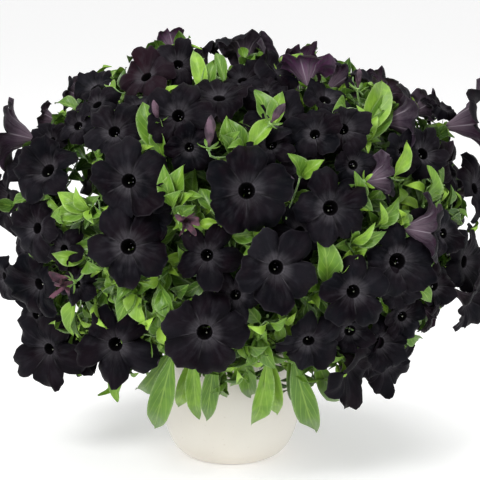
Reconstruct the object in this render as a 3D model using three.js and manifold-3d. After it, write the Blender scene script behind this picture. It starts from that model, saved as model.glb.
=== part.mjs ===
// Potted petunia: a dome of black-purple trumpet blooms and green leaves in a cream glazed bowl.
// Millimetres, +Z up, the front faces -Y, and the origin is the middle of the pot's foot.
import * as THREE from 'three';
import { mergeVertices } from 'three/addons/utils/BufferGeometryUtils.js';
import Module from 'manifold-3d';

const wasm = await Module();
wasm.setup();
const { Manifold, Mesh: SolidMesh } = wasm;

// Pot and soil
const POT_HEIGHT = 102;
const POT_FOOT_RADIUS = 38;
const POT_BELLY_RADIUS = 63.5;
const POT_BELLY_HEIGHT = 58;
const POT_RIM_RADIUS = 57;
const POT_WALL = 6;
const POT_LIP_ROUND = 1.4;
const POT_SIDES = 24;
const OUTSIDE_HEIGHTS = [0, 3, 10, 22, 38, 56, 78, 99];
const INSIDE_HEIGHTS = [96, 56, 22];
const FLOOR_HEIGHT = 8;
const FLOOR_RADIUS = 20;
const SOIL_TOP = 92;
const SOIL_EDGE_DROP = 4;
const HOLE_DEPTH = 14;
const HOLE_SIDES = 6;

// Clear space between two nodes
const CLEARANCE = 0.3;
const SOIL_GAP = CLEARANCE + 0.1;

// The eye level from which the front of the plant is laid out
const EYE_DISTANCE = 1500;
const EYE_RISE = THREE.MathUtils.degToRad(12);
const EYE_TARGET = [8, 0, 198];

// The dome on which the blooms open
const DOME_CENTRE = [8, 0, 217];
const DOME_RADII = [208, 196, 160];

// Below the dome the foliage hangs round the pot at this radius
const SKIRT_TOP = -100;
const SKIRT_RADIUS = 112;

// Bloom, as shares of its diameter, or in millimetres where it says so
const TUBE_LENGTH = 0.46;
const TUBE_BASE_RADIUS_MM = 2.4;
const THROAT_RADIUS = 0.115;
const THROAT_DEPTH = 0.1;
const FLARE_RADIUS = 0.27;
const FLARE_HEIGHT = 0.02;
const LOBE_SHOULDER_RADIUS = 0.475;
const LOBE_NOTCH_RADIUS = 0.4;
const LOBE_SHOULDER_ANGLE = 19;
const RIM_RUFFLE = 0.07;
const PETAL_THICKNESS_MM = 1;
const LOBES = 5;

// Calyx: a cup of five sepals under each bloom
const SEPAL_REACH = 9.5;
const SEPAL_RISE = 2.5;
const CALYX_SEAT = 1.4;
const CALYX_DEPTH = 3.4;

// Stems
const STEM_RADIUS = 2.4;
const STEM_ROOT_RADIUS = 1.6;
const STEM_TIP_RADIUS = 1.5;
const SHOOT_RADIUS = 1.1;
const STEM_REACH = 0.6;
const STEM_STEPS = 5;
const STEM_SIDES = 4;
const SHOOT_SIDES = 3;
const OUTER_STEMS = 7;
const INNER_STEMS = 3;
const OUTER_RING_RADIUS = 34;
const INNER_RING_RADIUS = 14;
const OUTER_STEM_RISE = 8;
const INNER_STEM_RISE = 52;
const STEM_UPRIGHT = 60;
const STEM_SWEEP = 50;

// Shoots: their steps, their places on a main stem, the lean and the shortness that they favour, and
// the sideways bends in mm, each at a number of angles, that take them clear of their neighbours
const BLOOM_SHOOT_STEPS = 3;
const LEAF_SHOOT_STEPS = 2;
const SHOOT_LOWEST = 0.36;
const SHOOT_SPACING = 0.02;
const SHOOT_PLACES = 32;
const SHOOT_LEAN = 0.74;
const SHORTNESS = 0.003;
const LEAVING_SHARE = 0.3;
const ARRIVING_SHARE = 0.35;
const ARRIVING_MOST = 26;
const BENDS = [0, 9, 18, 28];
const BEND_ANGLES = 6;
const CANDIDATES = 1 + BEND_ANGLES * (BENDS.length - 1);

// Leaf: each station has its place along the leaf, its share of the width and its share of the arch
const RIB_THICKNESS = 1.2;
const LEAF_FOLD = 0.16;
const LEAF_SPACING = 2.4;
const LEAF_ARCH = 0.1;
const BROAD_LEAF = [[0.3, 0.44, 0.75], [0.68, 0.42, 1]];
const SMALL_LEAF = [[0.48, 0.5, 1]];

// The ways in which a leaf is tried: its turn aside, its raise in mm and its share of the length
const LEAF_TRIES = [
  [0, 0, 1], [0, 7, 1], [0.25, 3, 0.95], [-0.25, 3, 0.95], [0, -8, 0.9],
  [0.45, 0, 0.85], [-0.45, 0, 0.85], [0.2, 12, 0.8], [-0.2, 12, 0.8], [0, 4, 0.7], [0, 14, 0.7],
];

// The grid that vertices settle on, and the crumbs of edges that are cleared away, in mm
const GRID = 0.002;
const CRUMBS = [0.02, 0.035, 0.05, 0.07, 0.1, 0.14, 0.2];

// Blooms seen from the front: across and up from the target, diameter, lift towards the eye,
// turn to the right and tilt upwards in degrees, and 1 for the full outline or 0 for the plain one
const FRONT_BLOOMS = [
  [-101, 53, 62, 6, -8, -5, 1],
  [-101, -6, 67, 0, -2, 0, 1],
  [-114, 99, 53, 4, -10, 20, 1],
  [-56, 113, 56, 4, -5, 12, 1],
  [6, 45, 71, 2, 0, 5, 1],
  [82, 29, 65, 4, 5, 0, 1],
  [33, -25, 63, 8, 8, -5, 1],
  [-30, -14, 54, -6, -3, -5, 1],
  [-32, -84, 68, 8, 0, -10, 1],
  [103, -47, 59, 4, 12, -8, 1],
  [62, -93, 53, 0, 5, -35, 1],
  [-113, -95, 64, 4, -8, -12, 1],
  [-174, -99, 55, 0, -30, -12, 1],
  [-185, 11, 51, 0, -40, 5, 1],
  [-184, -41, 48, -4, -40, -15, 1],
  [-176, 65, 55, 0, -30, 25, 1],
  [-205, 95, 52, 4, -100, 12, 0],
  [-155, 132, 40, 0, -105, 20, 0],
  [-169, 115, 40, 2, -100, 10, 0],
  [-132, 141, 40, 0, -40, 50, 0],
  [-86, 149, 52, 0, -30, 35, 1],
  [-66, 178, 44, 0, -150, 40, 0],
  [-56, 160, 50, -2, 0, 30, 1],
  [-16, 132, 54, -2, 0, 55, 1],
  [5, 175, 62, 0, 170, 65, 0],
  [32, 158, 45, 0, 60, 40, 0],
  [60, 169, 44, 0, -170, 75, 0],
  [95, 151, 49, 0, 100, 45, 0],
  [135, 137, 40, 0, 120, 40, 0],
  [152, 108, 52, 6, 95, 5, 0],
  [168, 119, 40, -8, 110, 20, 0],
  [185, 122, 36, -4, 60, 45, 0],
  [209, 106, 55, 4, 90, 10, 0],
  [93, 101, 51, 2, 5, 15, 1],
  [59, 95, 46, -4, -5, 20, 1],
  [167, 79, 48, -6, 30, 15, 1],
  [131, 56, 43, 0, 120, 10, 0],
  [176, 14, 54, 6, 110, -5, 0],
  [214, 47, 53, -4, 50, 10, 1],
  [144, -20, 60, 0, 15, -5, 1],
  [142, -54, 38, -6, 20, -25, 0],
  [205, -20, 61, -4, 55, -5, 1],
  [174, -65, 40, 0, 75, -25, 0],
  [207, -61, 44, -6, 60, -30, 0],
  [137, -86, 43, -2, 35, -10, 0],
  [133, -115, 46, 0, 30, -40, 1],
  [104, -117, 58, 4, 60, -40, 1],
  [-213, 36, 53, 0, -60, 0, 0],
  [-216, -36, 49, 0, -60, -15, 0],
  [-45, 81, 42, -8, 0, -10, 0],
];

// Blooms that press into a neighbour: which one, into which, and how far it is pushed towards it
const PRESSED = [
  [49, 3, 2], [23, 3, 3], [31, 30, 3], [43, 41, 6], [26, 24, 7], [34, 33, 8], [37, 39, 8], [40, 39, 10],
  [44, 46, 11], [18, 16, 12],
];

// The blooms of the far side open in pairs, which follow an even spiral round the back of the dome
const BACK_PAIRS = 14;
const PAIR_SPACING = 0.74;
const PAIR_TILT = 0.22;
const BACK_SPREAD = 0.86;
const BACK_LOWEST = -0.56;
const BACK_DIAMETER = 57;
const BACK_VARIATION = 0.1;
const BACK_UNEVENNESS = 0.02;
const BACK_SWAY = [0.25, 0.15, 0.2];
const BACK_NOD = [0, 0, -0.08];
const BACK_PAIR_PHASE = 0.4;
const GOLDEN_ANGLE = Math.PI * (3 - Math.sqrt(5));

// Leafy shoots seen from the front: where the shoot ends, and the tip and width of each of its leaves
const FRONT_SPRAYS = [
  { at: [-63, -108], leaves: [[-77, -169, 21], [-94, -134, 16]] },
  { at: [-45, -112], leaves: [[-36, -161, 14], [-56, -150, 13]] },
  { at: [-24, -112], leaves: [[-30, -158, 15], [-12, -142, 13]] },
  { at: [4, -108], leaves: [[10, -141, 15]] },
  { at: [28, -114], leaves: [[10, -167, 18], [33, -157, 15]] },
  { at: [49, -112], leaves: [[68, -172, 21], [50, -148, 15]] },
  { at: [68, -110], leaves: [[89, -143, 16]] },
  { at: [-112, -118], leaves: [[-110, -146, 15]] },
  { at: [-101, -45], leaves: [[-84, -78, 21], [-110, -74, 16], [-118, -42, 15], [-82, -34, 15]] },
  { at: [-160, -58], leaves: [[-150, -86, 15], [-176, -76, 14]] },
  { at: [-140, -60], leaves: [[-119, -80, 14]] },
  { at: [-80, -42], leaves: [[-42, -71, 18], [-58, -82, 15]] },
  { at: [86, -52], leaves: [[73, 14, 22], [94, -6, 14]] },
  { at: [108, -5], leaves: [[132, 8, 13], [88, -10, 13]] },
  { at: [131, 10], leaves: [[143, 40, 15]] },
  { at: [112, 34], leaves: [[120, 71, 20], [100, 64, 15]] },
  { at: [180, 34], leaves: [[170, 67, 18], [207, 58, 18]] },
  { at: [117, 96], leaves: [[125, 139, 23], [138, 116, 15], [121, 76, 14]] },
  { at: [108, 128], leaves: [[83, 113, 18]] },
  { at: [-66, 32], leaves: [[-67, 70, 15], [-50, 68, 21], [-42, 42, 15]] },
  { at: [-14, 14], leaves: [[-33, 1, 15], [-16, 36, 15], [3, 9, 14]] },
  { at: [30, 112], leaves: [[13, 135, 18], [38, 134, 15]] },
  { at: [6, 88], leaves: [[35, 111, 15], [-12, 110, 13]] },
  { at: [-75, 80], leaves: [[-87, 124, 21], [-68, 110, 14]] },
  { at: [-144, 28], leaves: [[-170, 21, 16], [-164, 43, 16], [-128, 40, 14], [-122, 23, 15]] },
  { at: [-150, -20], leaves: [[-125, -27, 15], [-170, -12, 14]] },
  { at: [-33, 136], leaves: [[-41, 166, 13], [-22, 162, 13]] },
  { at: [-196, 42], leaves: [[-176, 40, 13]] },
  { at: [60, 64], leaves: [[44, 78, 14], [76, 72, 14]] },
  { at: [150, 62], leaves: [[150, 90, 14]] },
  { at: [160, -36], leaves: [[174, -16, 15], [172, -56, 14]] },
  { at: [-160, -92], leaves: [[-144, -124, 14]] },
];
const SPRAY_DEPTH = 16;
const SPRAY_TIP_LIFT = 3;

// Leafy shoots of the far side, on a spiral that falls between the blooms
const BACK_SPRAYS = 15;
const BACK_SPRAY_LEAVES = 3;
const BACK_SPRAY_PHASE = 2.1;
const BACK_SPRAY_LOWEST = -0.66;
const BACK_LEAF_REACH = 38;
const BACK_LEAF_WIDTH = 21;

// A leaf below every second bloom
const AXIL_LEAF_LENGTH = 46;
const AXIL_LEAF_WIDTH = 20;
const AXIL_LEAF_PLACE = 0.7;

const COLOURS = {
  pot: { color: 0xece4d6, roughness: 0.35, metalness: 0 },
  soil: { color: 0x33261c, roughness: 0.95, metalness: 0 },
  foliage: { color: 0x5f9a35, roughness: 0.6, metalness: 0 },
  bloom: { color: 0x1a1019, roughness: 0.7, metalness: 0 },
};

// Vectors
const add = (p, q) => [p[0] + q[0], p[1] + q[1], p[2] + q[2]];
const minus = (p, q) => [p[0] - q[0], p[1] - q[1], p[2] - q[2]];
const scaled = (p, s) => [p[0] * s, p[1] * s, p[2] * s];
const along = (p, direction, distance) => add(p, scaled(direction, distance));
const dot = (p, q) => p[0] * q[0] + p[1] * q[1] + p[2] * q[2];
const cross = (p, q) => [
  p[1] * q[2] - p[2] * q[1], p[2] * q[0] - p[0] * q[2], p[0] * q[1] - p[1] * q[0]];
const size = (p) => Math.sqrt(dot(p, p));
const unit = (p) => scaled(p, 1 / size(p));
const degrees = (angle) => THREE.MathUtils.degToRad(angle);

// A number from 0 to 1 for an item and a use of it, the same on every run
function draw(item, use) {
  let state = (item * 7919 + use * 104729 + 12345) % 4294967296;
  for (let round = 0; round < 3; round += 1) state = (state * 1664525 + 1013904223) % 4294967296;
  return state / 4294967296;
}
const spread = (item, use) => 2 * draw(item, use) - 1;

// A point of a cubic curve through four control points
function bezier(curve, s) {
  const r = 1 - s;
  let point = scaled(curve[0], r * r * r);
  point = along(point, curve[1], 3 * r * r * s);
  point = along(point, curve[2], 3 * r * s * s);
  return along(point, curve[3], s * s * s);
}

function bezierTangent(curve, s) {
  const r = 1 - s;
  let way = scaled(minus(curve[1], curve[0]), r * r);
  way = along(way, minus(curve[2], curve[1]), 2 * r * s);
  return unit(along(way, minus(curve[3], curve[2]), s * s));
}

// The eye's own directions, and the point of the dome that the eye sees at a place
const RIGHT = [1, 0, 0];
const UP = [0, Math.sin(EYE_RISE), Math.cos(EYE_RISE)];
const AHEAD = [0, Math.cos(EYE_RISE), -Math.sin(EYE_RISE)];
const EYE = along(EYE_TARGET, AHEAD, -EYE_DISTANCE);

function onDome(across, up, lift) {
  const start = along(along(EYE_TARGET, RIGHT, across), UP, up);
  const ray = along(along(AHEAD, RIGHT, across / EYE_DISTANCE), UP, up / EYE_DISTANCE);
  const from = minus(start, DOME_CENTRE).map((value, axis) => value / DOME_RADII[axis]);
  const way = ray.map((value, axis) => value / DOME_RADII[axis]);
  const a = dot(way, way);
  const b = 2 * dot(from, way);
  const c = dot(from, from) - 1;
  const inside = Math.max(b * b - 4 * a * c, 0);
  const reached = (-b - Math.sqrt(inside)) / (2 * a);
  return along(start, ray, (up < SKIRT_TOP ? Math.min(reached, skirtReach(start, ray)) : reached) - lift);
}

// How far along a ray the hanging foliage is met
function skirtReach(start, ray) {
  const [x, y] = minus(start, DOME_CENTRE);
  const a = ray[0] ** 2 + ray[1] ** 2;
  const b = 2 * (x * ray[0] + y * ray[1]);
  const inside = b * b - 4 * a * (x * x + y * y - SKIRT_RADIUS ** 2);
  return inside > 0 ? (-b - Math.sqrt(inside)) / (2 * a) : Infinity;
}

// A direction out of the dome's middle for a point, with the dome made round
const domeDirection = (point) => unit(
  minus(point, DOME_CENTRE).map((value, axis) => value / DOME_RADII[axis]));

// The outward normal of the dome at a point
const domeNormal = (point) => unit(
  minus(point, DOME_CENTRE).map((value, axis) => value / DOME_RADII[axis] ** 2));

// A place on the spiral round the back, from 0 at the far point to the sides
function backPlace(index, count, phase) {
  const behind = 1 - (BACK_SPREAD * (index + 0.5)) / count;
  const ring = Math.sqrt(1 - behind * behind);
  const angle = index * GOLDEN_ANGLE + phase;
  return [ring * Math.cos(angle), behind, ring * Math.sin(angle)];
}

const domePoint = (direction, share) => add(
  DOME_CENTRE, direction.map((value, axis) => value * DOME_RADII[axis] * share));

// Every bloom: its middle, its axis, its diameter, the turn of its lobes and its outline
function allBlooms() {
  const blooms = FRONT_BLOOMS.map(([across, up, diameter, lift, turn, tilt, full], index) => {
    const yaw = degrees(turn);
    const pitch = degrees(tilt);
    let axis = scaled(RIGHT, Math.sin(yaw) * Math.cos(pitch));
    axis = along(axis, UP, Math.sin(pitch));
    axis = along(axis, AHEAD, -Math.cos(yaw) * Math.cos(pitch));
    return { middle: onDome(across, up, lift), axis, diameter, full, index };
  });
  for (const [follower, leader, push] of PRESSED) {
    const moved = blooms[follower];
    moved.middle = along(moved.middle, unit(minus(blooms[leader].middle, moved.middle)), push);
  }
  for (let place = 0; place < BACK_PAIRS; place += 1) {
    const direction = backPlace(place, BACK_PAIRS, BACK_PAIR_PHASE);
    if (direction[2] < BACK_LOWEST) continue;
    const centre = domePoint(direction, 1 + BACK_UNEVENNESS * spread(place, 1));
    const sway = BACK_SWAY.map((most, axis) => most * spread(place, 2 + axis));
    const outward = unit(add(add(domeNormal(centre), sway), BACK_NOD));
    const across = unit(cross(outward, [0, 0, 1]));
    const turn = Math.PI * draw(place, 5);
    const beside = along(scaled(across, Math.cos(turn)), cross(outward, across), Math.sin(turn));
    for (const side of [-1, 1]) {
      const diameter = BACK_DIAMETER * (1 + BACK_VARIATION * spread(2 * place + side, 10));
      const middle = along(centre, beside, (side * PAIR_SPACING * BACK_DIAMETER) / 2);
      const axis = unit(along(outward, beside, side * PAIR_TILT));
      blooms.push({ middle, axis, diameter, full: 0, index: blooms.length });
    }
  }
  for (const bloom of blooms) {
    bloom.roll = degrees(72 * draw(bloom.index, 6));
    const upright = Math.abs(bloom.axis[2]) < 0.9 ? [0, 0, 1] : [0, 1, 0];
    bloom.side = unit(cross(upright, bloom.axis));
    bloom.top = cross(bloom.axis, bloom.side);
    bloom.seat = along(bloom.middle, bloom.axis, -TUBE_LENGTH * bloom.diameter);
  }
  return blooms;
}

// A point of a bloom from its angle, its distance from the axis and its height on the axis
function bloomPoint(bloom, angle, radius, height) {
  let point = along(bloom.middle, bloom.side, radius * Math.cos(angle));
  point = along(point, bloom.top, radius * Math.sin(angle));
  return along(point, bloom.axis, height);
}

// A closed solid from points and triangles
function solid(points, triangles) {
  return new Manifold(new SolidMesh({
    numProp: 3,
    vertProperties: new Float32Array(points.flat()),
    triVerts: new Uint32Array(triangles.flat()),
  }));
}

// The corolla: tube, throat and five lobes, whose rim is a sharp edge shared by front and back
function bloomSolid(bloom) {
  const points = [];
  const triangles = [];
  const diameter = bloom.diameter;
  const put = (angle, radius, height) => points.push(bloomPoint(bloom, angle, radius, height)) - 1;
  const step = (2 * Math.PI) / LOBES;
  const lobeStart = (lobe) => bloom.roll + (lobe - 0.5) * step;
  const ring = (count, make) => Array.from({ length: count }, (_, k) => make(k));

  const base = ring(LOBES, (k) => put(lobeStart(k), TUBE_BASE_RADIUS_MM, -TUBE_LENGTH * diameter));
  const rim = ring(3 * LOBES, (k) => {
    const lobe = Math.floor(k / 3);
    const ruffle = RIM_RUFFLE * diameter * spread(bloom.index * 20 + k, 7);
    if (k % 3 === 0) return put(lobeStart(lobe), LOBE_NOTCH_RADIUS * diameter, 0.5 * ruffle);
    const offset = (k % 3 === 1 ? -1 : 1) * degrees(LOBE_SHOULDER_ANGLE);
    const radius = LOBE_SHOULDER_RADIUS * diameter * (1 + 0.06 * spread(bloom.index * 20 + k, 8));
    return put(lobeStart(lobe) + step / 2 + offset, radius, ruffle);
  });
  const face = (side) => {
    const throat = ring(LOBES, (k) => put(
      lobeStart(k), THROAT_RADIUS * diameter - side * 1.2 * PETAL_THICKNESS_MM,
      -THROAT_DEPTH * diameter + side * 0.6 * PETAL_THICKNESS_MM));
    const flare = bloom.full ? ring(2 * LOBES, (k) => put(
      lobeStart(k / 2), FLARE_RADIUS * diameter,
      (FLARE_HEIGHT + (k % 2 ? 0.012 : -0.012)) * diameter + side * PETAL_THICKNESS_MM)) : null;
    return { throat, flare };
  };
  const backs = face(0);
  const fronts = face(1);
  const apex = put(0, 0, -0.75 * TUBE_LENGTH * diameter);

  const leaf = (a, b, c, front) => triangles.push(front ? [a, b, c] : [a, c, b]);
  for (let k = 0; k < LOBES; k += 1) {
    const next = (k + 1) % LOBES;
    triangles.push([base[k], base[next], backs.throat[next]]);
    triangles.push([base[k], backs.throat[next], backs.throat[k]]);
    triangles.push([apex, fronts.throat[k], fronts.throat[next]]);
    for (const [{ throat, flare }, front] of [[backs, false], [fronts, true]]) {
      const edge = [rim[3 * k], rim[3 * k + 1], rim[3 * k + 2], rim[(3 * k + 3) % rim.length]];
      if (flare) {
        const bend = [flare[2 * k], flare[2 * k + 1], flare[(2 * k + 2) % flare.length]];
        leaf(throat[k], bend[0], bend[1], front);
        leaf(throat[k], bend[1], throat[next], front);
        leaf(throat[next], bend[1], bend[2], front);
        leaf(bend[0], edge[0], edge[1], front);
        leaf(bend[0], edge[1], bend[1], front);
        leaf(bend[1], edge[1], edge[2], front);
        leaf(bend[1], edge[2], bend[2], front);
        leaf(bend[2], edge[2], edge[3], front);
      } else {
        leaf(throat[k], edge[0], edge[1], front);
        leaf(throat[k], edge[1], throat[next], front);
        leaf(throat[next], edge[1], edge[2], front);
        leaf(throat[next], edge[2], edge[3], front);
      }
    }
  }
  for (let k = 1; k < LOBES - 1; k += 1) triangles.push([base[0], base[k + 1], base[k]]);
  return solid(points, triangles);
}

// A stem through points, with a radius at each, and flat ends, or the calyx of a bloom at its tip
function stemSolid(points, radii, sides, bloom) {
  const chord = unit(minus(points[points.length - 1], points[0]));
  const aside = Math.abs(chord[2]) < 0.95 ? unit(cross(chord, [0, 0, 1])) : [1, 0, 0];
  const corners = [];
  points.forEach((point, place) => {
    const before = points[Math.max(place - 1, 0)];
    const after = points[Math.min(place + 1, points.length - 1)];
    const way = unit(minus(after, before));
    const across = unit(cross(way, aside));
    const upward = cross(way, across);
    for (let side = 0; side < sides; side += 1) {
      const angle = (2 * Math.PI * side) / sides;
      const out = along(scaled(across, Math.cos(angle)), upward, Math.sin(angle));
      corners.push(along(point, out, radii[place]));
    }
  });
  const triangles = [];
  const last = (points.length - 1) * sides;
  for (let place = 0; place < points.length - 1; place += 1) {
    for (let side = 0; side < sides; side += 1) {
      const a = place * sides + side;
      const b = place * sides + ((side + 1) % sides);
      triangles.push([a, b, b + sides], [a, b + sides, a + sides]);
    }
  }
  for (let side = 1; side < sides - 1; side += 1) {
    triangles.push([0, side + 1, side]);
    if (!bloom) triangles.push([last, last + side, last + side + 1]);
  }
  if (bloom) openIntoCalyx(corners, triangles, sides, bloom);
  return solid(corners, triangles);
}

// Joins a stem's last ring to the cup of sepals under a bloom's tube
function openIntoCalyx(corners, triangles, sides, bloom) {
  const base = -TUBE_LENGTH * bloom.diameter;
  const ring = Array.from({ length: sides }, (_, k) => corners.length - sides + k);
  const out = minus(corners[ring[0]], bloom.seat);
  const first = Math.atan2(dot(out, bloom.top), dot(out, bloom.side));
  const star = Array.from({ length: LOBES }, (_, k) => {
    const angle = first + (2 * k * Math.PI) / LOBES;
    return corners.push(bloomPoint(bloom, angle, SEPAL_REACH, base + SEPAL_RISE)) - 1;
  });
  const seat = corners.push(bloomPoint(bloom, 0, 0, base - CALYX_SEAT)) - 1;
  star.forEach((point, k) => triangles.push([seat, point, star[(k + 1) % star.length]]));
  let inner = 0;
  for (let outer = 0; outer < star.length; outer += 1) {
    if (inner < sides && (inner + 0.5) / sides < (outer + 0.5) / star.length) {
      triangles.push([ring[inner % sides], ring[(inner + 1) % sides], star[outer]]);
      inner += 1;
    }
    triangles.push([ring[inner % sides], star[(outer + 1) % star.length], star[outer]]);
  }
}

// A leaf from its root to its tip, with a pair of margin points beside a folded midrib at each station.
// Both faces are split from margin to midrib alike, so that they never cross.
function leafSolid(root, tip, width, face, arch, stations) {
  const way = unit(minus(tip, root));
  const length = size(minus(tip, root));
  const across = unit(cross(way, face));
  const outward = cross(across, way);
  const points = [root];
  for (const [place, half, rise] of stations) {
    const middle = along(along(root, way, place * length), outward, rise * arch);
    points.push(along(along(middle, across, half * width), outward, LEAF_FOLD * width));
    points.push(along(middle, outward, RIB_THICKNESS / 2));
    points.push(along(along(middle, across, -half * width), outward, LEAF_FOLD * width));
    points.push(along(middle, outward, -RIB_THICKNESS / 2));
  }
  points.push(tip);
  const triangles = [];
  const last = points.length - 1;
  for (let k = 0; k < 4; k += 1) {
    const next = (k + 1) % 4;
    triangles.push([0, 1 + k, 1 + next], [last, last - 4 + next, last - 4 + k]);
    for (let ring = 1; ring < last - 4; ring += 4) {
      const [a, b, c, d] = [ring + k, ring + next, ring + 4 + next, ring + 4 + k];
      triangles.push(...(k % 2 ? [[a, d, b], [b, d, c]] : [[a, c, b], [a, d, c]]));
    }
  }
  return solid(points, triangles);
}

// The main stems: where each leaves the soil, and the curve that it follows into the dome
function mainStems() {
  const stems = [];
  const ring = (count, radius, rise, phase) => {
    for (let k = 0; k < count; k += 1) {
      const angle = (2 * Math.PI * (k + phase)) / count;
      const climb = degrees(rise + 6 * spread(stems.length, 9));
      const direction = [
        Math.cos(angle) * Math.cos(climb), Math.sin(angle) * Math.cos(climb), Math.sin(climb)];
      const foot = [radius * Math.cos(angle), radius * Math.sin(angle), SOIL_TOP];
      const tip = domePoint(direction, STEM_REACH);
      const curve = [
        foot, along(foot, [0, 0, 1], STEM_UPRIGHT), along(tip, direction, -STEM_SWEEP), tip];
      stems.push({ direction, foot, curve, index: stems.length, taken: [] });
    }
  };
  ring(OUTER_STEMS, OUTER_RING_RADIUS, OUTER_STEM_RISE, 0.25);
  ring(INNER_STEMS, INNER_RING_RADIUS, INNER_STEM_RISE, 0.6);
  return stems;
}

// The main stem whose direction is nearest to a point's
function nearestStem(stems, point) {
  const direction = domeDirection(point);
  return stems.reduce((best, stem) => (
    dot(stem.direction, direction) > dot(best.direction, direction) ? stem : best));
}

// Shoots leave a main stem one above another, where each leans forward at a natural angle
function shootStart(stem, end) {
  let best = null;
  for (let notch = 0; notch < SHOOT_PLACES; notch += 1) {
    if (stem.taken.includes(notch)) continue;
    const place = SHOOT_LOWEST + SHOOT_SPACING * notch;
    const start = bezier(stem.curve, place);
    const reach = size(minus(end, start));
    const lean = dot(bezierTangent(stem.curve, place), unit(minus(end, start)));
    const score = Math.abs(lean - SHOOT_LEAN) + SHORTNESS * reach;
    if (!best || score < best.score) best = { notch, place, start, score };
  }
  stem.taken.push(best.notch);
  return best;
}

// The curve of a shoot from its start to its end, which it meets along a given direction. Bend 0
// is the plain curve, and each further bend swings its middle out another way.
function shootCurve(stem, start, end, arrival, bend) {
  const reach = size(minus(end, start.start));
  const swing = BENDS[Math.ceil(bend / BEND_ANGLES)];
  const angle = (2 * Math.PI * (bend % BEND_ANGLES)) / BEND_ANGLES;
  const chord = unit(minus(end, start.start));
  const across = unit(cross(chord, Math.abs(chord[2]) < 0.95 ? [0, 0, 1] : [1, 0, 0]));
  const aside = scaled(across, swing * Math.cos(angle));
  const shift = along(aside, cross(chord, across), swing * Math.sin(angle));
  const leaving = along(start.start, bezierTangent(stem.curve, start.place), LEAVING_SHARE * reach);
  const arriving = along(end, arrival, -Math.min(ARRIVING_SHARE * reach, ARRIVING_MOST));
  return [start.start, add(leaving, shift), add(arriving, shift), end];
}

function shootSolid(curve, bloom) {
  const steps = bloom ? BLOOM_SHOOT_STEPS : LEAF_SHOOT_STEPS;
  const points = Array.from({ length: steps + 1 }, (_, k) => bezier(curve, k / steps));
  return stemSolid(points, points.map(() => SHOOT_RADIUS), SHOOT_SIDES, bloom);
}

// Tests between solids, with their boxes first
const boxed = (body) => ({ body, box: body.boundingBox() });
function boxesMeet(a, b, gap) {
  return [0, 1, 2].every((axis) => (
    a.box.min[axis] < b.box.max[axis] + gap && b.box.min[axis] < a.box.max[axis] + gap));
}
const near = (a, b) => boxesMeet(a, b, CLEARANCE) && a.body.minGap(b.body, 2 * CLEARANCE) < CLEARANCE;
const overlap = (a, b) => boxesMeet(a, b, 0) && !a.body.intersect(b.body).isEmpty();

// The largest body of a solid, with loose scraps and sealed hollows left out
function largestBody(body) {
  return body.decompose().reduce((best, piece) => (piece.volume() > best.volume() ? piece : best));
}

// True where no edge of a mesh is shared by more than two faces
function hasPlainEdges({ vertProperties, triVerts }) {
  const corner = (k) => vertProperties.slice(3 * k, 3 * k + 3).join(' ');
  const seen = new Set();
  for (let face = 0; face < triVerts.length; face += 3) {
    const names = [0, 1, 2].map((k) => corner(triVerts[face + k]));
    for (let k = 0; k < 3; k += 1) {
      const edge = `${names[k]} to ${names[(k + 1) % 3]}`;
      if (seen.has(edge)) return false;
      seen.add(edge);
    }
  }
  return true;
}

// A solid as one body with its vertices on a fine grid. Crumbs of edges are cleared away, larger
// ones each time, until every edge has two faces.
function settled(body) {
  const whole = largestBody(body);
  for (const crumb of CRUMBS) {
    let clean = whole.simplify(crumb);
    for (let round = 0; round < 3; round += 1) {
      const geometry = toGeometry(clean);
      const { array } = geometry.attributes.position;
      array.forEach((value, k) => { array[k] = GRID * Math.round(value / GRID); });
      clean = largestBody(fromGeometry(geometry));
    }
    if (hasPlainEdges(clean.getMesh())) return clean;
  }
  return null;
}

// Sets of items joined in pairs
function joiner(count) {
  const leader = Array.from({ length: count }, (_, k) => k);
  const find = (k) => (leader[k] === k ? k : find(leader[k]));
  return { find, join: (a, b) => { leader[find(b)] = find(a); } };
}

// Pot and soil, turned on a wheel
function turned(profile, sides) {
  const geometry = new THREE.LatheGeometry(profile.map(([r, z]) => new THREE.Vector2(r, z)), sides);
  geometry.rotateX(Math.PI / 2);
  return geometry;
}

// The bowl's outer radius at a height: a round belly between a narrow foot and a drawn-in rim
function bowlRadius(height) {
  if (height < POT_BELLY_HEIGHT) {
    const below = 1 - height / POT_BELLY_HEIGHT;
    return POT_FOOT_RADIUS + (POT_BELLY_RADIUS - POT_FOOT_RADIUS) * Math.sqrt(1 - below ** 2.2);
  }
  const above = (height - POT_BELLY_HEIGHT) / (POT_HEIGHT - POT_BELLY_HEIGHT);
  return POT_BELLY_RADIUS - (POT_BELLY_RADIUS - POT_RIM_RADIUS) * above ** 2;
}

function potGeometry() {
  const outside = OUTSIDE_HEIGHTS.map((height) => [bowlRadius(height), height]);
  const inside = INSIDE_HEIGHTS.map((height) => [bowlRadius(height) - POT_WALL, height]);
  const lip = [POT_RIM_RADIUS - POT_LIP_ROUND, POT_RIM_RADIUS - POT_WALL + POT_LIP_ROUND]
    .map((radius) => [radius, POT_HEIGHT]);
  const floor = [[FLOOR_RADIUS, FLOOR_HEIGHT], [0, FLOOR_HEIGHT]];
  return turned([[0, 0], ...outside, ...lip, ...inside, ...floor], POT_SIDES);
}

function fromGeometry(geometry, distance = 1e-4) {
  geometry.deleteAttribute('normal');
  geometry.deleteAttribute('uv');
  const merged = mergeVertices(geometry, distance);
  const vertProperties = merged.attributes.position.array;
  const triVerts = new Uint32Array(withoutFins(merged.index.array));
  return new Manifold(new SolidMesh({ numProp: 3, vertProperties, triVerts }));
}

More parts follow.
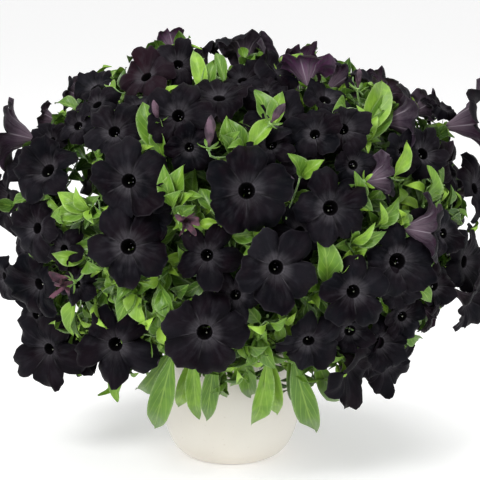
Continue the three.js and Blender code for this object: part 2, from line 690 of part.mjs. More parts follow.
// Triangles without the ones that have no area and the fins, which are pairs of faces back to back
function withoutFins(index) {
  const faces = new Map();
  for (let face = 0; face < index.length; face += 3) {
    let [a, b, c] = index.slice(face, face + 3);
    if (a === b || b === c || c === a) continue;
    while (a > b || a > c) [a, b, c] = [b, c, a];
    const back = faces.get(`${a} ${c} ${b}`) ?? [];
    if (back.length) back.splice(-3);
    else faces.set(`${a} ${b} ${c}`, [...faces.get(`${a} ${b} ${c}`) ?? [], a, b, c]);
  }
  return [...faces.values()].flat();
}

function toGeometry(body) {
  const mesh = body.getMesh();
  const geometry = new THREE.BufferGeometry();
  geometry.setAttribute('position', new THREE.BufferAttribute(mesh.vertProperties, 3));
  geometry.setIndex(new THREE.BufferAttribute(mesh.triVerts, 1));
  geometry.computeVertexNormals();
  return geometry;
}

// The soil fills the bowl, with a plain hole for each main stem
function soilSolid(stems) {
  const inner = (height) => bowlRadius(height) - POT_WALL - 1.3 * SOIL_GAP;
  const edge = SOIL_TOP - SOIL_EDGE_DROP;
  const wall = INSIDE_HEIGHTS.filter((height) => height < edge).reverse();
  const body = fromGeometry(turned([
    [0, FLOOR_HEIGHT + SOIL_GAP], [FLOOR_RADIUS - SOIL_GAP, FLOOR_HEIGHT + SOIL_GAP],
    ...wall.map((height) => [inner(height), height]), [inner(edge) - SOIL_GAP, edge],
    [POT_RIM_RADIUS / 2, SOIL_TOP - 1], [0, SOIL_TOP]], POT_SIDES));
  const radius = (STEM_RADIUS + SOIL_GAP) / Math.cos(Math.PI / HOLE_SIDES);
  const holes = stems.map(({ foot }) => stemSolid([
    along(foot, [0, 0, 1], -HOLE_DEPTH - CLEARANCE), along(foot, [0, 0, 1], HOLE_DEPTH),
  ], [radius, radius], HOLE_SIDES));
  return largestBody(holes.reduce((soil, hole) => soil.subtract(hole), body));
}

function mainStemSolid(stem) {
  const points = [along(stem.foot, [0, 0, 1], -HOLE_DEPTH), along(stem.foot, [0, 0, 1], 4)];
  for (let k = 1; k <= STEM_STEPS; k += 1) points.push(bezier(stem.curve, k / STEM_STEPS));
  const radii = points.map((_, k) => (
    STEM_RADIUS + (STEM_TIP_RADIUS - STEM_RADIUS) * Math.max(0, (k - 1) / STEM_STEPS)));
  radii[0] = STEM_ROOT_RADIUS;
  return stemSolid(points, radii, STEM_SIDES);
}

function triedLeaf(leaf, attempt) {
  const [turn, raise, share] = LEAF_TRIES[attempt];
  const way = minus(leaf.tip, leaf.root);
  const length = size(way);
  const normal = domeNormal(leaf.tip);
  const across = unit(cross(way, normal));
  const bent = unit(along(along(way, across, turn * length), normal, raise));
  return { ...leaf, tip: along(leaf.root, bent, length * share), width: leaf.width * (0.4 + 0.6 * share) };
}

function leafFace(leaf) {
  const normal = domeNormal(leaf.tip);
  const way = unit(minus(leaf.tip, leaf.root));
  const flat = minus(normal, scaled(way, dot(normal, way)));
  return size(flat) > 0.2 ? unit(flat) : unit(cross(way, [1, 0, 0]));
}

// Every leafy shoot: its end, the way that it arrives there and its leaves
function allSprays() {
  const sprays = FRONT_SPRAYS.map(({ at, leaves }) => {
    const skin = onDome(at[0], at[1], 0);
    const normal = domeNormal(skin);
    return {
      end: along(skin, normal, -SPRAY_DEPTH),
      arrival: normal,
      leaves: leaves.map(([across, up, width]) => ({ tip: onDome(across, up, SPRAY_TIP_LIFT), width })),
    };
  });
  for (let place = 0; place < BACK_SPRAYS; place += 1) {
    const direction = backPlace(place, BACK_SPRAYS, BACK_SPRAY_PHASE);
    if (direction[2] < BACK_SPRAY_LOWEST) continue;
    const index = sprays.length;
    const skin = domePoint(direction, 1);
    const normal = domeNormal(skin);
    const side = unit(cross(normal, [0, 0, 1]));
    const lift = cross(side, normal);
    const leaves = Array.from({ length: BACK_SPRAY_LEAVES }, (_, k) => {
      const angle = (2 * Math.PI * (k + 0.3 * spread(index * 5 + k, 11))) / BACK_SPRAY_LEAVES + index;
      const reach = BACK_LEAF_REACH * (1 + 0.25 * spread(index * 5 + k, 12));
      let tip = along(skin, side, reach * Math.cos(angle));
      tip = along(tip, lift, reach * Math.sin(angle));
      const width = BACK_LEAF_WIDTH * (1 + 0.2 * spread(index * 5 + k, 13));
      return { tip: along(tip, normal, 2 - 0.2 * reach), width };
    });
    sprays.push({ end: along(skin, normal, -SPRAY_DEPTH), arrival: normal, leaves });
  }
  return sprays;
}

// Build: blooms first, then stems and shoots that pass clear of them, then leaves
const blooms = allBlooms();
const corollas = blooms.map((bloom) => boxed(bloomSolid(bloom)));
const bloomSets = joiner(blooms.length);
for (let a = 0; a < blooms.length; a += 1) {
  for (let b = a + 1; b < blooms.length; b += 1) {
    if (overlap(corollas[a], corollas[b])) bloomSets.join(a, b);
  }
}

const stems = mainStems();
const pot = boxed(fromGeometry(potGeometry()));
const soil = boxed(soilSolid(stems));
const stemSets = joiner(stems.length);
for (const stem of stems) stem.parts = [boxed(mainStemSolid(stem))];

const notched = [];

function growShoot(owner, end, arrival, bloom) {
  const stem = nearestStem(stems, end);
  const start = shootStart(stem, end);
  let best = null;
  for (let bend = 0; bend < CANDIDATES; bend += 1) {
    const curve = shootCurve(stem, start, end, arrival, bend);
    const shoot = boxed(shootSolid(curve, bloom));
    const struck = corollas.map((_, k) => k).filter((k) => near(shoot, corollas[k]));
    const crossed = stems.filter((other) => other !== stem && other.parts.some((part) => near(shoot, part)));
    const tangled = stem.parts.slice(1).filter((part) => overlap(shoot, part)).length;
    const blocked = near(shoot, pot) || near(shoot, soil) ? 1 : 0;
    const score = 100 * blocked + 10 * struck.length + 3 * crossed.length + tangled;
    if (!best || score < best.score) best = { score, shoot, curve, bend, struck, crossed };
    if (score === 0) break;
  }
  stem.parts.push(best.shoot);
  for (const k of best.struck) notched.push([k, best.shoot]);
  for (const other of best.crossed) {
    if (other.parts.some((part) => overlap(best.shoot, part))) stemSets.join(stem.index, other.index);
  }
  Object.assign(owner, { stem, curve: best.curve, bend: best.bend, shoot: best.shoot });
}

for (const bloom of blooms) {
  growShoot(bloom, along(bloom.seat, bloom.axis, -CALYX_DEPTH), bloom.axis, bloom);
}
const sprays = allSprays();
for (const spray of sprays) growShoot(spray, spray.end, spray.arrival);

const leaves = sprays.flatMap((owner) => owner.leaves.map(({ tip, width }, k) => {
  const root = along(owner.end, owner.arrival, -LEAF_SPACING * (k + 0.4));
  return { root, tip, width, owner, shape: BROAD_LEAF };
}));
for (const bloom of blooms.filter(({ index }) => index % 2)) {
  const root = bezier(bloom.curve, AXIL_LEAF_PLACE);
  const way = bezierTangent(bloom.curve, AXIL_LEAF_PLACE);
  const side = unit(cross(way, domeNormal(root)));
  const turn = 2 * Math.PI * draw(bloom.index, 14);
  const out = along(scaled(side, Math.cos(turn)), cross(side, way), Math.sin(turn));
  const length = AXIL_LEAF_LENGTH * (1 + 0.2 * spread(bloom.index, 15));
  const tip = along(along(root, out, 0.75 * length), domeNormal(root), 0.55 * length);
  const width = AXIL_LEAF_WIDTH * (1 + 0.15 * spread(bloom.index, 16));
  leaves.push({ root, tip, width, owner: bloom, shape: SMALL_LEAF });
}

function bladeOf(leaf) {
  const length = size(minus(leaf.tip, leaf.root));
  return boxed(leafSolid(leaf.root, leaf.tip, leaf.width, leafFace(leaf), LEAF_ARCH * length, leaf.shape));
}

// True where a blade passes clear of all but its own shoot and the leaves beside it
function isClear(blade, owner) {
  return !near(blade, pot) && !near(blade, soil)
    && !corollas.some((corolla) => near(blade, corolla))
    && !stems.some(({ parts }) => parts.some((part) => (
      part !== owner.shoot && part.owner !== owner && near(blade, part))));
}

for (const leaf of leaves) {
  for (let attempt = 0; attempt < LEAF_TRIES.length; attempt += 1) {
    const blade = bladeOf(triedLeaf(leaf, attempt));
    if (isClear(blade, leaf.owner)) {
      blade.owner = leaf.owner;
      leaf.owner.stem.parts.push(blade);
      break;
    }
  }
}

// Assemble the nodes
const plant = new THREE.Group();
function addMesh(name, geometry, finish) {
  const mesh = new THREE.Mesh(geometry, new THREE.MeshStandardMaterial(COLOURS[finish]));
  mesh.name = name;
  plant.add(mesh);
}
addMesh('pot', toGeometry(pot.body), 'pot');
addMesh('soil', toGeometry(soil.body), 'soil');

// Parts as one body, without the leaves that can't be joined cleanly
function fused(parts) {
  let whole = null;
  for (const part of parts) {
    const more = whole ? whole.add(part.body) : part.body;
    if (part.owner && !settled(more)) continue;
    whole = more;
  }
  return settled(whole);
}

const leafyStems = [];
for (const stem of stems) {
  if (stemSets.find(stem.index) !== stem.index) continue;
  const members = stems.filter((other) => stemSets.find(other.index) === stem.index);
  leafyStems.push(fused(members.flatMap((member) => member.parts)));
}
leafyStems.forEach((body, k) => addMesh(`leafy_stem_${k + 1}`, toGeometry(body), 'foliage'));

const bloomGroups = [];
for (const bloom of blooms) {
  if (bloomSets.find(bloom.index) !== bloom.index) continue;
  const members = blooms.filter((other) => bloomSets.find(other.index) === bloom.index);
  let body = members.map((member) => corollas[member.index].body).reduce((sum, part) => sum.add(part));
  for (const [k, part] of notched) {
    if (bloomSets.find(k) === bloom.index && near(boxed(body), part)) body = body.subtract(part.body);
  }
  bloomGroups.push(settled(body));
}
bloomGroups.forEach((body, k) => addMesh(`blooms_${k + 1}`, toGeometry(body), 'bloom'));

export default plant;
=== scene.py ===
"""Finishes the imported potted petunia: velvety near-black trumpets, soft green leaves and a glazed bowl.

Lengths in the tables are millimetres in the CAD's own frame, and turn into metres as a mesh is made.
"""

import math

import bpy
import numpy as np
from mathutils import Matrix, Vector
from mathutils.kdtree import KDTree


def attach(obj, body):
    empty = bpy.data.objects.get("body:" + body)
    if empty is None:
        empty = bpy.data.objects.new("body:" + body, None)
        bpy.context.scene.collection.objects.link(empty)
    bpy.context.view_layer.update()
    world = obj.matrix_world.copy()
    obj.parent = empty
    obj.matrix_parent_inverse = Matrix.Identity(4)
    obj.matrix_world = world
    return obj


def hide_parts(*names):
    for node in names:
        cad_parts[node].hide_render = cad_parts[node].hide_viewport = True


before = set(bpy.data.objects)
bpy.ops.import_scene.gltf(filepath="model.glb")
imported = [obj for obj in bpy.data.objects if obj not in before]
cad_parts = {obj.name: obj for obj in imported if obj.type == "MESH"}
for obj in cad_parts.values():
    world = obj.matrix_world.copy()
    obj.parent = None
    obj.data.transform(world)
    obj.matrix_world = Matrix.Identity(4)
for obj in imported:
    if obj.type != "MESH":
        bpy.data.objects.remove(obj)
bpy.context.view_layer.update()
MM = 0.001

# The bowl
POT_HEIGHT = 102
POT_FOOT_RADIUS = 38
POT_BELLY_RADIUS = 63.5
POT_BELLY_HEIGHT = 58
POT_RIM_RADIUS = 57
POT_WALL = 6
POT_LIP_HEIGHT = 2.6
POT_FLOOR = 8
POT_SIDES = 96
POT_WOBBLE = 0.0018
POT_OUTER_HEIGHTS = (0.9, 2, 4, 7, 11, 16, 22, 29, 37, 46, 55, 64, 73, 82, 90, 97)
POT_INNER_HEIGHTS = (94, 86, 76, 64, 50, 36, 22)
SOIL_TOP = 92
HOLE_DEPTH = 14

# The eye level from which the front of the plant is laid out
EYE_DISTANCE = 1500
EYE_RISE = math.radians(12)
EYE_TARGET = np.array([8.0, 0, 198])
EYE_LENS = 125

# The dome on which the blooms open, and the upright skirt of foliage that hangs below it
DOME_CENTRE = np.array([8.0, 0, 217])
DOME_RADII = np.array([208.0, 196, 160])
SKIRT_TOP = -100
SKIRT_RADIUS = 112

# Bloom and calyx
LOBES = 5
TUBE_LENGTH = 0.46
TUBE_BASE_RADIUS = 2.4
LOBE_SHOULDER_ANGLE = math.radians(19)
RIM_RUFFLE = 0.07
SEPAL_REACH = 9.5
SEPAL_RISE = 2.5
CALYX_DEPTH = 3.4

# Main stems. Each ring has a number of stems, its radius, their rise in degrees and its turn
STEM_RINGS = [(7, 34, 8, 0.25), (3, 14, 52, 0.6)]
STEM_UNEVENNESS = 6
STEM_RADIUS = 2.4
STEM_TIP_RADIUS = 1.5
STEM_END_RADIUS = 1.6
STEM_COLLAR = 4
STEM_REACH = 0.6
STEM_UPRIGHT = 60
STEM_SWEEP = 50

# Shoots: where they may leave a main stem, what decides between the places, and their curve
SHOOT_RADIUS = 1.1
SHOOT_LOWEST = 0.36
SHOOT_SPACING = 0.02
SHOOT_PLACES = 32
SHOOT_LEAN = 0.74
SHORTNESS = 0.003
LEAVING_SHARE = 0.3
ARRIVING_SHARE = 0.35
ARRIVING_MOST = 26

# Stalks of the finished plant: the steps along them, their thick and thin radius, and their sides
SHOOT_STALK = (12, SHOOT_RADIUS * 1.15, SHOOT_RADIUS * 0.85, 6)
TWIG_STALK = (7, 0.85, 0.6, 4)
TUCKED_STALK = (8, 1, 0.9, 5)

# How far a shoot's middle may swing aside to pass its neighbours, and in how many directions
BENDS = [0, 9, 18, 28]
BEND_ANGLES = 6

# Leaves: stations have a place along the leaf, a share of the width and a share of the arch
LEAF_FOLD = 0.16
LEAF_SPACING = 2.4
LEAF_ARCH = 0.1
LEAF_TURN = 2.4
LEAF_STALK = 0.12
LEAF_ROWS = 13
LEAF_COLUMNS = 5
BROAD_LEAF = [(0.3, 0.44, 0.75), (0.68, 0.42, 1)]
SMALL_LEAF = [(0.48, 0.5, 1)]

# How a CAD leaf may have been moved to pass its neighbours: a turn aside, a rise and its share of length
LEAF_TRIES = [
    (0, 0, 1), (0, 7, 1), (0.25, 3, 0.95), (-0.25, 3, 0.95), (0, -8, 0.9), (0.45, 0, 0.85),
    (-0.45, 0, 0.85), (0.2, 12, 0.8), (-0.2, 12, 0.8), (0, 4, 0.7), (0, 14, 0.7),
]

# How near a point must lie to a CAD corner to be the same, and the most that a distance counts
MATCH_DISTANCE = 0.3
FAR_DISTANCE = 5

# Nearly a whole turn, which random phases are drawn from
PHASE = 6.28

# Blooms seen from the front: across and up from the target, diameter, lift towards the eye,
# turn to the right and tilt upwards in degrees
FRONT_BLOOMS = [
    (-101, 53, 62, 6, -8, -5), (-101, -6, 67, 0, -2, 0), (-114, 99, 53, 4, -10, 20),
    (-56, 113, 56, 4, -5, 12), (6, 45, 71, 2, 0, 5), (82, 29, 65, 4, 5, 0), (33, -25, 63, 8, 8, -5),
    (-30, -14, 54, -6, -3, -5), (-32, -84, 68, 8, 0, -10), (103, -47, 59, 4, 12, -8),
    (62, -93, 53, 0, 5, -35), (-113, -95, 64, 4, -8, -12), (-174, -99, 55, 0, -30, -12),
    (-185, 11, 51, 0, -40, 5), (-184, -41, 48, -4, -40, -15), (-176, 65, 55, 0, -30, 25),
    (-205, 95, 52, 4, -100, 12), (-155, 132, 40, 0, -105, 20), (-169, 115, 40, 2, -100, 10),
    (-132, 141, 40, 0, -40, 50), (-86, 149, 52, 0, -30, 35), (-66, 178, 44, 0, -150, 40),
    (-56, 160, 50, -2, 0, 30), (-16, 132, 54, -2, 0, 55), (5, 175, 62, 0, 170, 65),
    (32, 158, 45, 0, 60, 40), (60, 169, 44, 0, -170, 75), (95, 151, 49, 0, 100, 45),
    (135, 137, 40, 0, 120, 40), (152, 108, 52, 6, 95, 5), (168, 119, 40, -8, 110, 20),
    (185, 122, 36, -4, 60, 45), (209, 106, 55, 4, 90, 10), (93, 101, 51, 2, 5, 15),
    (59, 95, 46, -4, -5, 20), (167, 79, 48, -6, 30, 15), (131, 56, 43, 0, 120, 10),
    (176, 14, 54, 6, 110, -5), (214, 47, 53, -4, 50, 10), (144, -20, 60, 0, 15, -5),
    (142, -54, 38, -6, 20, -25), (205, -20, 61, -4, 55, -5), (174, -65, 40, 0, 75, -25),
    (207, -61, 44, -6, 60, -30), (137, -86, 43, -2, 35, -10), (133, -115, 46, 0, 30, -40),
    (104, -117, 58, 4, 60, -40), (-213, 36, 53, 0, -60, 0), (-216, -36, 49, 0, -60, -15),
    (-45, 81, 42, -8, 0, -10),
]

# Blooms that press into a neighbour: which one, into which, and how far it is pushed towards it
PRESSED = [
    (49, 3, 2), (23, 3, 3), (31, 30, 3), (43, 41, 6), (26, 24, 7), (34, 33, 8), (37, 39, 8),
    (40, 39, 10), (44, 46, 11), (18, 16, 12),
]

# Smaller blooms tucked in behind the others: across, up, diameter, depth, turn and tilt.
# They are numbered from FIRST_TUCKED on, in this order
FIRST_TUCKED = 200
TUCKED_BLOOMS = [
    (58, 157, 46, 0, -165, 62), (36, 112, 52, 6, 10, 35), (2, 146, 42, 8, -10, 45),
    (-147, 104, 38, 8, -20, 20), (186, 6, 40, 8, 40, 0), (178, -42, 40, 8, 40, -10),
    (100, -84, 40, 10, 10, -25), (-160, -8, 38, 8, -30, 0), (-92, 122, 40, 8, -20, 45),
    (-86, 20, 44, 14, 0, 0), (-146, -104, 42, 10, -20, -20), (54, 8, 42, 20, 0, 0),
    (-4, -50, 44, 16, 0, -10), (-196, 68, 42, 6, -50, 10), (118, -112, 42, 12, 20, -40),
    (78, 130, 44, 10, 20, 45), (-148, -40, 36, 8, -30, 0), (-130, 124, 42, 8, -30, 40),
    (-172, 90, 40, 10, -40, 20), (148, -70, 40, 12, 25, -15), (57, 66, 36, 20, 5, 10),
    (148, 80, 40, 8, 30, 10), (170, 16, 38, 10, 35, 0), (22, 134, 40, 10, 0, 40), (103, 68, 36, 10, 15, 5),
    (28, 88, 40, 12, 0, 20), (-186, -68, 42, 8, -40, -10),
]
TUCKED_PLACES = 210
TUCKED_LOWEST = -0.62
TUCKED_FRONT = 0.3
TUCKED_CROWDING = 0.37
TUCKED_SHARE = 0.955
TUCKED_DIAMETERS = (46, 60)
TUCKED_SWAY = 0.25
SILHOUETTE_TOP = 148

# The blooms and leafy shoots of the far side, on even spirals
BACK_PAIRS = 14
PAIR_SPACING = 0.74
PAIR_TILT = 0.22
BACK_SPREAD = 0.86
BACK_LOWEST = -0.56
BACK_DIAMETER = 57
BACK_VARIATION = 0.1
BACK_UNEVENNESS = 0.02
BACK_SWAY = (0.25, 0.15, 0.2)
BACK_NOD = np.array([0, 0, -0.08])
BACK_PAIR_PHASE = 0.4
GOLDEN_ANGLE = math.pi * (3 - math.sqrt(5))
BACK_SPRAYS = 15
BACK_SPRAY_LEAVES = 3
BACK_SPRAY_PHASE = 2.1
BACK_SPRAY_LOWEST = -0.66
BACK_LEAF_REACH = 38
BACK_LEAF_WIDTH = 21

# Leafy shoots seen from the front: where the shoot ends, and the tip and width of each of its leaves
FRONT_SPRAYS = [
    ((-63, -108), [(-77, -169, 21), (-94, -134, 16)]),
    ((-45, -112), [(-36, -161, 14), (-56, -150, 13)]),
    ((-24, -112), [(-30, -158, 15), (-12, -142, 13)]),
    ((4, -108), [(10, -141, 15)]),
    ((28, -114), [(10, -167, 18), (33, -157, 15)]),
    ((49, -112), [(68, -172, 21), (50, -148, 15)]),
    ((68, -110), [(89, -143, 16)]),
    ((-112, -118), [(-110, -146, 15)]),
    ((-101, -45), [(-84, -78, 21), (-110, -74, 16), (-118, -42, 15), (-82, -34, 15)]),
    ((-160, -58), [(-150, -86, 15), (-176, -76, 14)]),
    ((-140, -60), [(-119, -80, 14)]),
    ((-80, -42), [(-42, -71, 18), (-58, -82, 15)]),
    ((86, -52), [(73, 14, 22), (94, -6, 14)]),
    ((108, -5), [(132, 8, 13), (88, -10, 13)]),
    ((131, 10), [(143, 40, 15)]),
    ((112, 34), [(120, 71, 20), (100, 64, 15)]),
    ((180, 34), [(170, 67, 18), (207, 58, 18)]),
    ((117, 96), [(125, 139, 23), (138, 116, 15), (121, 76, 14)]),
    ((108, 128), [(83, 113, 18)]),
    ((-66, 32), [(-67, 70, 15), (-50, 68, 21), (-42, 42, 15)]),
    ((-14, 14), [(-33, 1, 15), (-16, 36, 15), (3, 9, 14)]),
    ((30, 112), [(13, 135, 18), (38, 134, 15)]),
    ((6, 88), [(35, 111, 15), (-12, 110, 13)]),
    ((-75, 80), [(-87, 124, 21), (-68, 110, 14)]),
    ((-144, 28), [(-170, 21, 16), (-164, 43, 16), (-128, 40, 14), (-122, 23, 15)]),
    ((-150, -20), [(-125, -27, 15), (-170, -12, 14)]),
    ((-33, 136), [(-41, 166, 13), (-22, 162, 13)]),
    ((-196, 42), [(-176, 40, 13)]),
    ((60, 64), [(44, 78, 14), (76, 72, 14)]),
    ((150, 62), [(150, 90, 14)]),
    ((160, -36), [(174, -16, 15), (172, -56, 14)]),
    ((-160, -92), [(-144, -124, 14)]),
]
SPRAY_DEPTH = 16
SPRAY_TIP_LIFT = 3
AXIL_LEAF_LENGTH = 46
AXIL_LEAF_WIDTH = 20
AXIL_LEAF_PLACE = 0.7

# Small young leaves between the blooms: where their twig ends, and the tip and width of each
YOUNG_LEAVES = [
    ((18, -98), [(37, -68, 12), (5, -83, 8), (5, -114, 13), (32, -116, 14), (24, -82, 9)]),
    ((7, -9), [(6, 4, 9), (0, -18, 10), (17, -8, 9)]),
    ((108, -5), [(132, 6, 10), (122, 16, 9), (98, 18, 10), (112, -26, 11)]),
    ((-12, 90), [(-24, 84, 12), (0, 98, 12), (-12, 112, 12)]),
    ((-118, 126), [(-119, 148, 10), (-128, 138, 9)]),
    ((-171, 92), [(-173, 110, 10), (-186, 98, 9)]),
    ((-14, 150), [(-22, 168, 10), (-6, 166, 9)]),
    ((-196, 44), [(-200, 66, 9), (-206, 30, 10)]),
    ((22, 68), [(30, 86, 12), (8, 76, 11)]),
    ((4, -108), [(-9, -132, 10)]),
    ((68, -112), [(76, -150, 12)]),
    ((-112, -122), [(-128, -140, 10)]),
    ((-140, -62), [(-132, -38, 10)]),
    ((86, -50), [(68, -20, 12)]),
    ((131, 12), [(126, 34, 10)]),
    ((180, 36), [(190, 26, 12)]),
    ((117, 98), [(135, 84, 12), (104, 122, 13), (93, 134, 12), (112, 146, 12), (133, 131, 13),
                 (140, 112, 12), (124, 112, 12), (88, 120, 11), (120, 96, 12)]),
    ((108, 128), [(110, 148, 10), (121, 145, 9)]),
    ((-14, 14), [(-26, 26, 11), (-13, -8, 12)]),
    ((6, 90), [(16, 112, 11), (-12, 82, 11)]),
    ((-75, 80), [(-92, 92, 12)]),
    ((-144, 28), [(-148, 48, 11)]),
    ((-150, -20), [(-140, -38, 11)]),
    ((60, 66), [(60, 52, 12)]),
    ((150, 62), [(164, 56, 11), (140, 76, 11)]),
    ((-160, -96), [(-178, -128, 11)]),
    ((160, -36), [(150, -60, 11)]),
]

# Wilted blooms and furled buds: across, up, size, lift and the way that they lean to the right and upwards
WILTED_BLOOMS = [(-51, 20, 24, 4, 20, -20), (-151, -38, 25, 6, -50, -10)]
FURLED_BUDS = [
    (-28, 84, 27, 10, 10, 65), (28, 106, 22, 8, 40, 40), (106, 137, 17, 8, 10, 70),
    (-74, 108, 18, 6, -20, 60),
]
BACK_BUDS = 16
BACK_BUD_PHASE = 3.1
BACK_BUD_SHARE = 0.97
BACK_BUD_HIGHEST = 345
BACK_BUD_LENGTHS = (15, 24)
FIRST_BUD = 300
FIRST_BACK_BUD = 30

# How far the lobes of some blooms reach, against the others
LOBE_GROWTH = {
    4: 0.96, 5: 0.9, 6: 1.07, 11: 1.06, 12: 1.3, 14: 1.22, 15: 1.1, 16: 1.3, 18: 0.8, 20: 1.06, 21: 0.88,
    24: 0.86, 25: 1.1, 26: 0.85, 27: 0.85, 29: 1.15, 32: 1.4, 33: 0.92, 37: 1.15, 38: 1.12, 41: 1.12,
    42: 1.08, 43: 1.3, 44: 1.1, 45: 1.2, 46: 1.25, 47: 1.2, 48: 0.88, 64: 0.8, 68: 0.9, 69: 0.72,
}

# How far the throats of some blooms open into a funnel
FUNNELS = {
    14: 0.3, 15: 0.4, 16: 1.0, 17: 1.0, 18: 1.0, 19: 0.6, 21: 1.0, 25: 0.8, 26: 1.0, 27: 0.9, 28: 0.8,
    29: 1.0, 30: 0.7, 31: 0.3, 32: 1.0, 35: 0.3, 36: 1.0, 37: 1.0, 39: 0.5, 44: 0.5, 46: 0.6, 47: 0.5,
    48: 0.5, FIRST_TUCKED: 1.0,
}

# How deeply the lobes of some blooms are parted, from 0 to 1
STARRY = {
    0: 0.05, 1: 0.5, 2: 0.5, 3: 0.3, 4: 0.0, 5: 0.4, 6: 0.35, 7: 0.9, 8: 0.05, 9: 0.5, 11: 0.8, 12: 0.8,
}

# The petals of these blooms are redder than the others
MAROON = (20, 21, 26, FIRST_TUCKED)

# Extra leaves on every shoot: how many are tried and from where on, how long they are, and how far
# they may pass the dome, except near its foot
FILL_TRIES = 10
FILL_START = 0.42
FILL_STRETCH = 0.56
FILL_LENGTHS = (15, 29)
FILL_SLENDERNESS = 0.5
FILL_LIMIT = 1.03
FILL_FOOT = 90
FILL_ROWS = 9

# Where on a shoot a twig may branch off, and how far a twig may reach
JOINT_PLACES = np.linspace(0.3, 0.92, 8)
TWIG_LONGEST = 80

# Side twigs that fill the dome, layer by layer: how many, the least and the greatest share of the dome
# that they reach, how many leaves each has, the leaves' least and greatest length, their rows of faces
# and how light they are, a painted shade that darkens the deeper layers
TWIG_LAYERS = [
    (560, 0.83, 0.985, 7, 14, 28, 9, 1), (150, 0.55, 0.78, 6, 30, 44, 7, 0.3),
    (110, 0.28, 0.5, 6, 32, 46, 7, 0.12),
]
TWIG_LOWEST = -0.8

# Twigs that hang over the bowl: how far from its axis and how high they end, and their leaves
HANGING_TWIGS = 22
HANGING_FRONT = 0.5
HANGING_REACH = (70, 78)
HANGING_HEIGHTS = (114, 126)
HANGING_LEAVES = 5
HANGING_LENGTHS = (24, 42)
HANGING_SLENDERNESS = 0.45
HANGING_ROWS = 11

# Openings between the leaves, as the eye sees them: across, up and radius
OPENINGS = [
    (-32, 160, 10), (-11, 160, 7), (-31, 143, 8), (-148, 47, 6), (-133, 36, 7), (-166, 0, 6), (-158, -16, 6),
    (-207, -3, 8), (-198, 40, 6), (-148, -58, 6), (159, -9, 5), (173, -86, 9), (40, 162, 7), (-150, 26, 5),
    (188, 62, 6), (-100, -128, 7), (-62, 92, 4), (54, 100, 4), (58, 140, 8), (48, 166, 9),
]

# How many numbers the rule for random draws can give
DRAW_RANGE = 2**32

# The materials of each kind of piece, by their place in its list
ON_LEAF, ON_STEM = range(2)
ON_FACE, ON_BACK, ON_STIGMA, ON_ANTHER, ON_STYLE = range(5)
ON_WILTED, ON_FURLED = range(2)


def draw(item, use):
    """A number from 0 to 1 for an item and a use of it, the same on every run."""
    state = (item * 7919 + use * 104729 + 12345) % DRAW_RANGE
    for _ in range(3):
        state = (state * 1664525 + 1013904223) % DRAW_RANGE
    return state / DRAW_RANGE


def spread(item, use):
    return 2 * draw(item, use) - 1


def between(least, greatest, item, use):
    return least + (greatest - least) * draw(item, use)


def vector(*values):
    return np.array(values, float)


def unit(p):
    return p / np.linalg.norm(p)


def bezier(curve, s):
    r = 1 - s
    return curve[0] * r**3 + curve[1] * 3 * r * r * s + curve[2] * 3 * r * s * s + curve[3] * s**3


def bezier_tangent(curve, s):
    r = 1 - s
    way = (curve[1] - curve[0]) * r * r + (curve[2] - curve[1]) * 2 * r * s
    return unit(way + (curve[3] - curve[2]) * s * s)


# The eye's own directions
RIGHT = vector(1, 0, 0)
UP = vector(0, math.sin(EYE_RISE), math.cos(EYE_RISE))
AHEAD = vector(0, math.cos(EYE_RISE), -math.sin(EYE_RISE))
UPRIGHT = vector(0, 0, 1)


def sideways(way):
    """A level direction across a way, or one across an upright way."""
    return unit(np.cross(way, UPRIGHT if abs(way[2]) < 0.9 else RIGHT))


def on_dome(across, up, lift):
    """The point of the dome, or of the foliage that hangs below it, that the eye sees at a place."""
    start = EYE_TARGET + RIGHT * across + UP * up
    ray = AHEAD + RIGHT * (across / EYE_DISTANCE) + UP * (up / EYE_DISTANCE)
    origin = (start - DOME_CENTRE) / DOME_RADII
    way = ray / DOME_RADII
    a = way @ way
    b = 2 * (origin @ way)
    inside = max(b * b - 4 * a * (origin @ origin - 1), 0)
    reached = (-b - math.sqrt(inside)) / (2 * a)
    if up < SKIRT_TOP:
        reached = min(reached, skirt_reach(start, ray))
    return start + ray * (reached - lift)


def skirt_reach(start, ray):
    x, y = (start - DOME_CENTRE)[:2]
    a = ray[0] ** 2 + ray[1] ** 2
    b = 2 * (x * ray[0] + y * ray[1])
    inside = b * b - 4 * a * (x * x + y * y - SKIRT_RADIUS**2)
    return (-b - math.sqrt(inside)) / (2 * a) if inside > 0 else math.inf


def dome_direction(point):
    return unit((point - DOME_CENTRE) / DOME_RADII)


def dome_normal(point):
    return unit((point - DOME_CENTRE) / DOME_RADII**2)


def dome_point(direction, share):
    return DOME_CENTRE + direction * DOME_RADII * share


def back_place(index, count, phase):
    """A place on the spiral round the back, from the far point to the sides."""
    behind = 1 - BACK_SPREAD * (index + 0.5) / count
    ring = math.sqrt(1 - behind * behind)
    angle = index * GOLDEN_ANGLE + phase
    return vector(ring * math.cos(angle), behind, ring * math.sin(angle))


def even_place(place, count, sway=0):
    """A place on the spiral that covers the dome evenly from its top down."""
    rise = 1 - 2 * (place + 0.5) / count
    ring = math.sqrt(1 - rise * rise)
    angle = place * GOLDEN_ANGLE + sway
    return vector(ring * math.cos(angle), ring * math.sin(angle), rise)


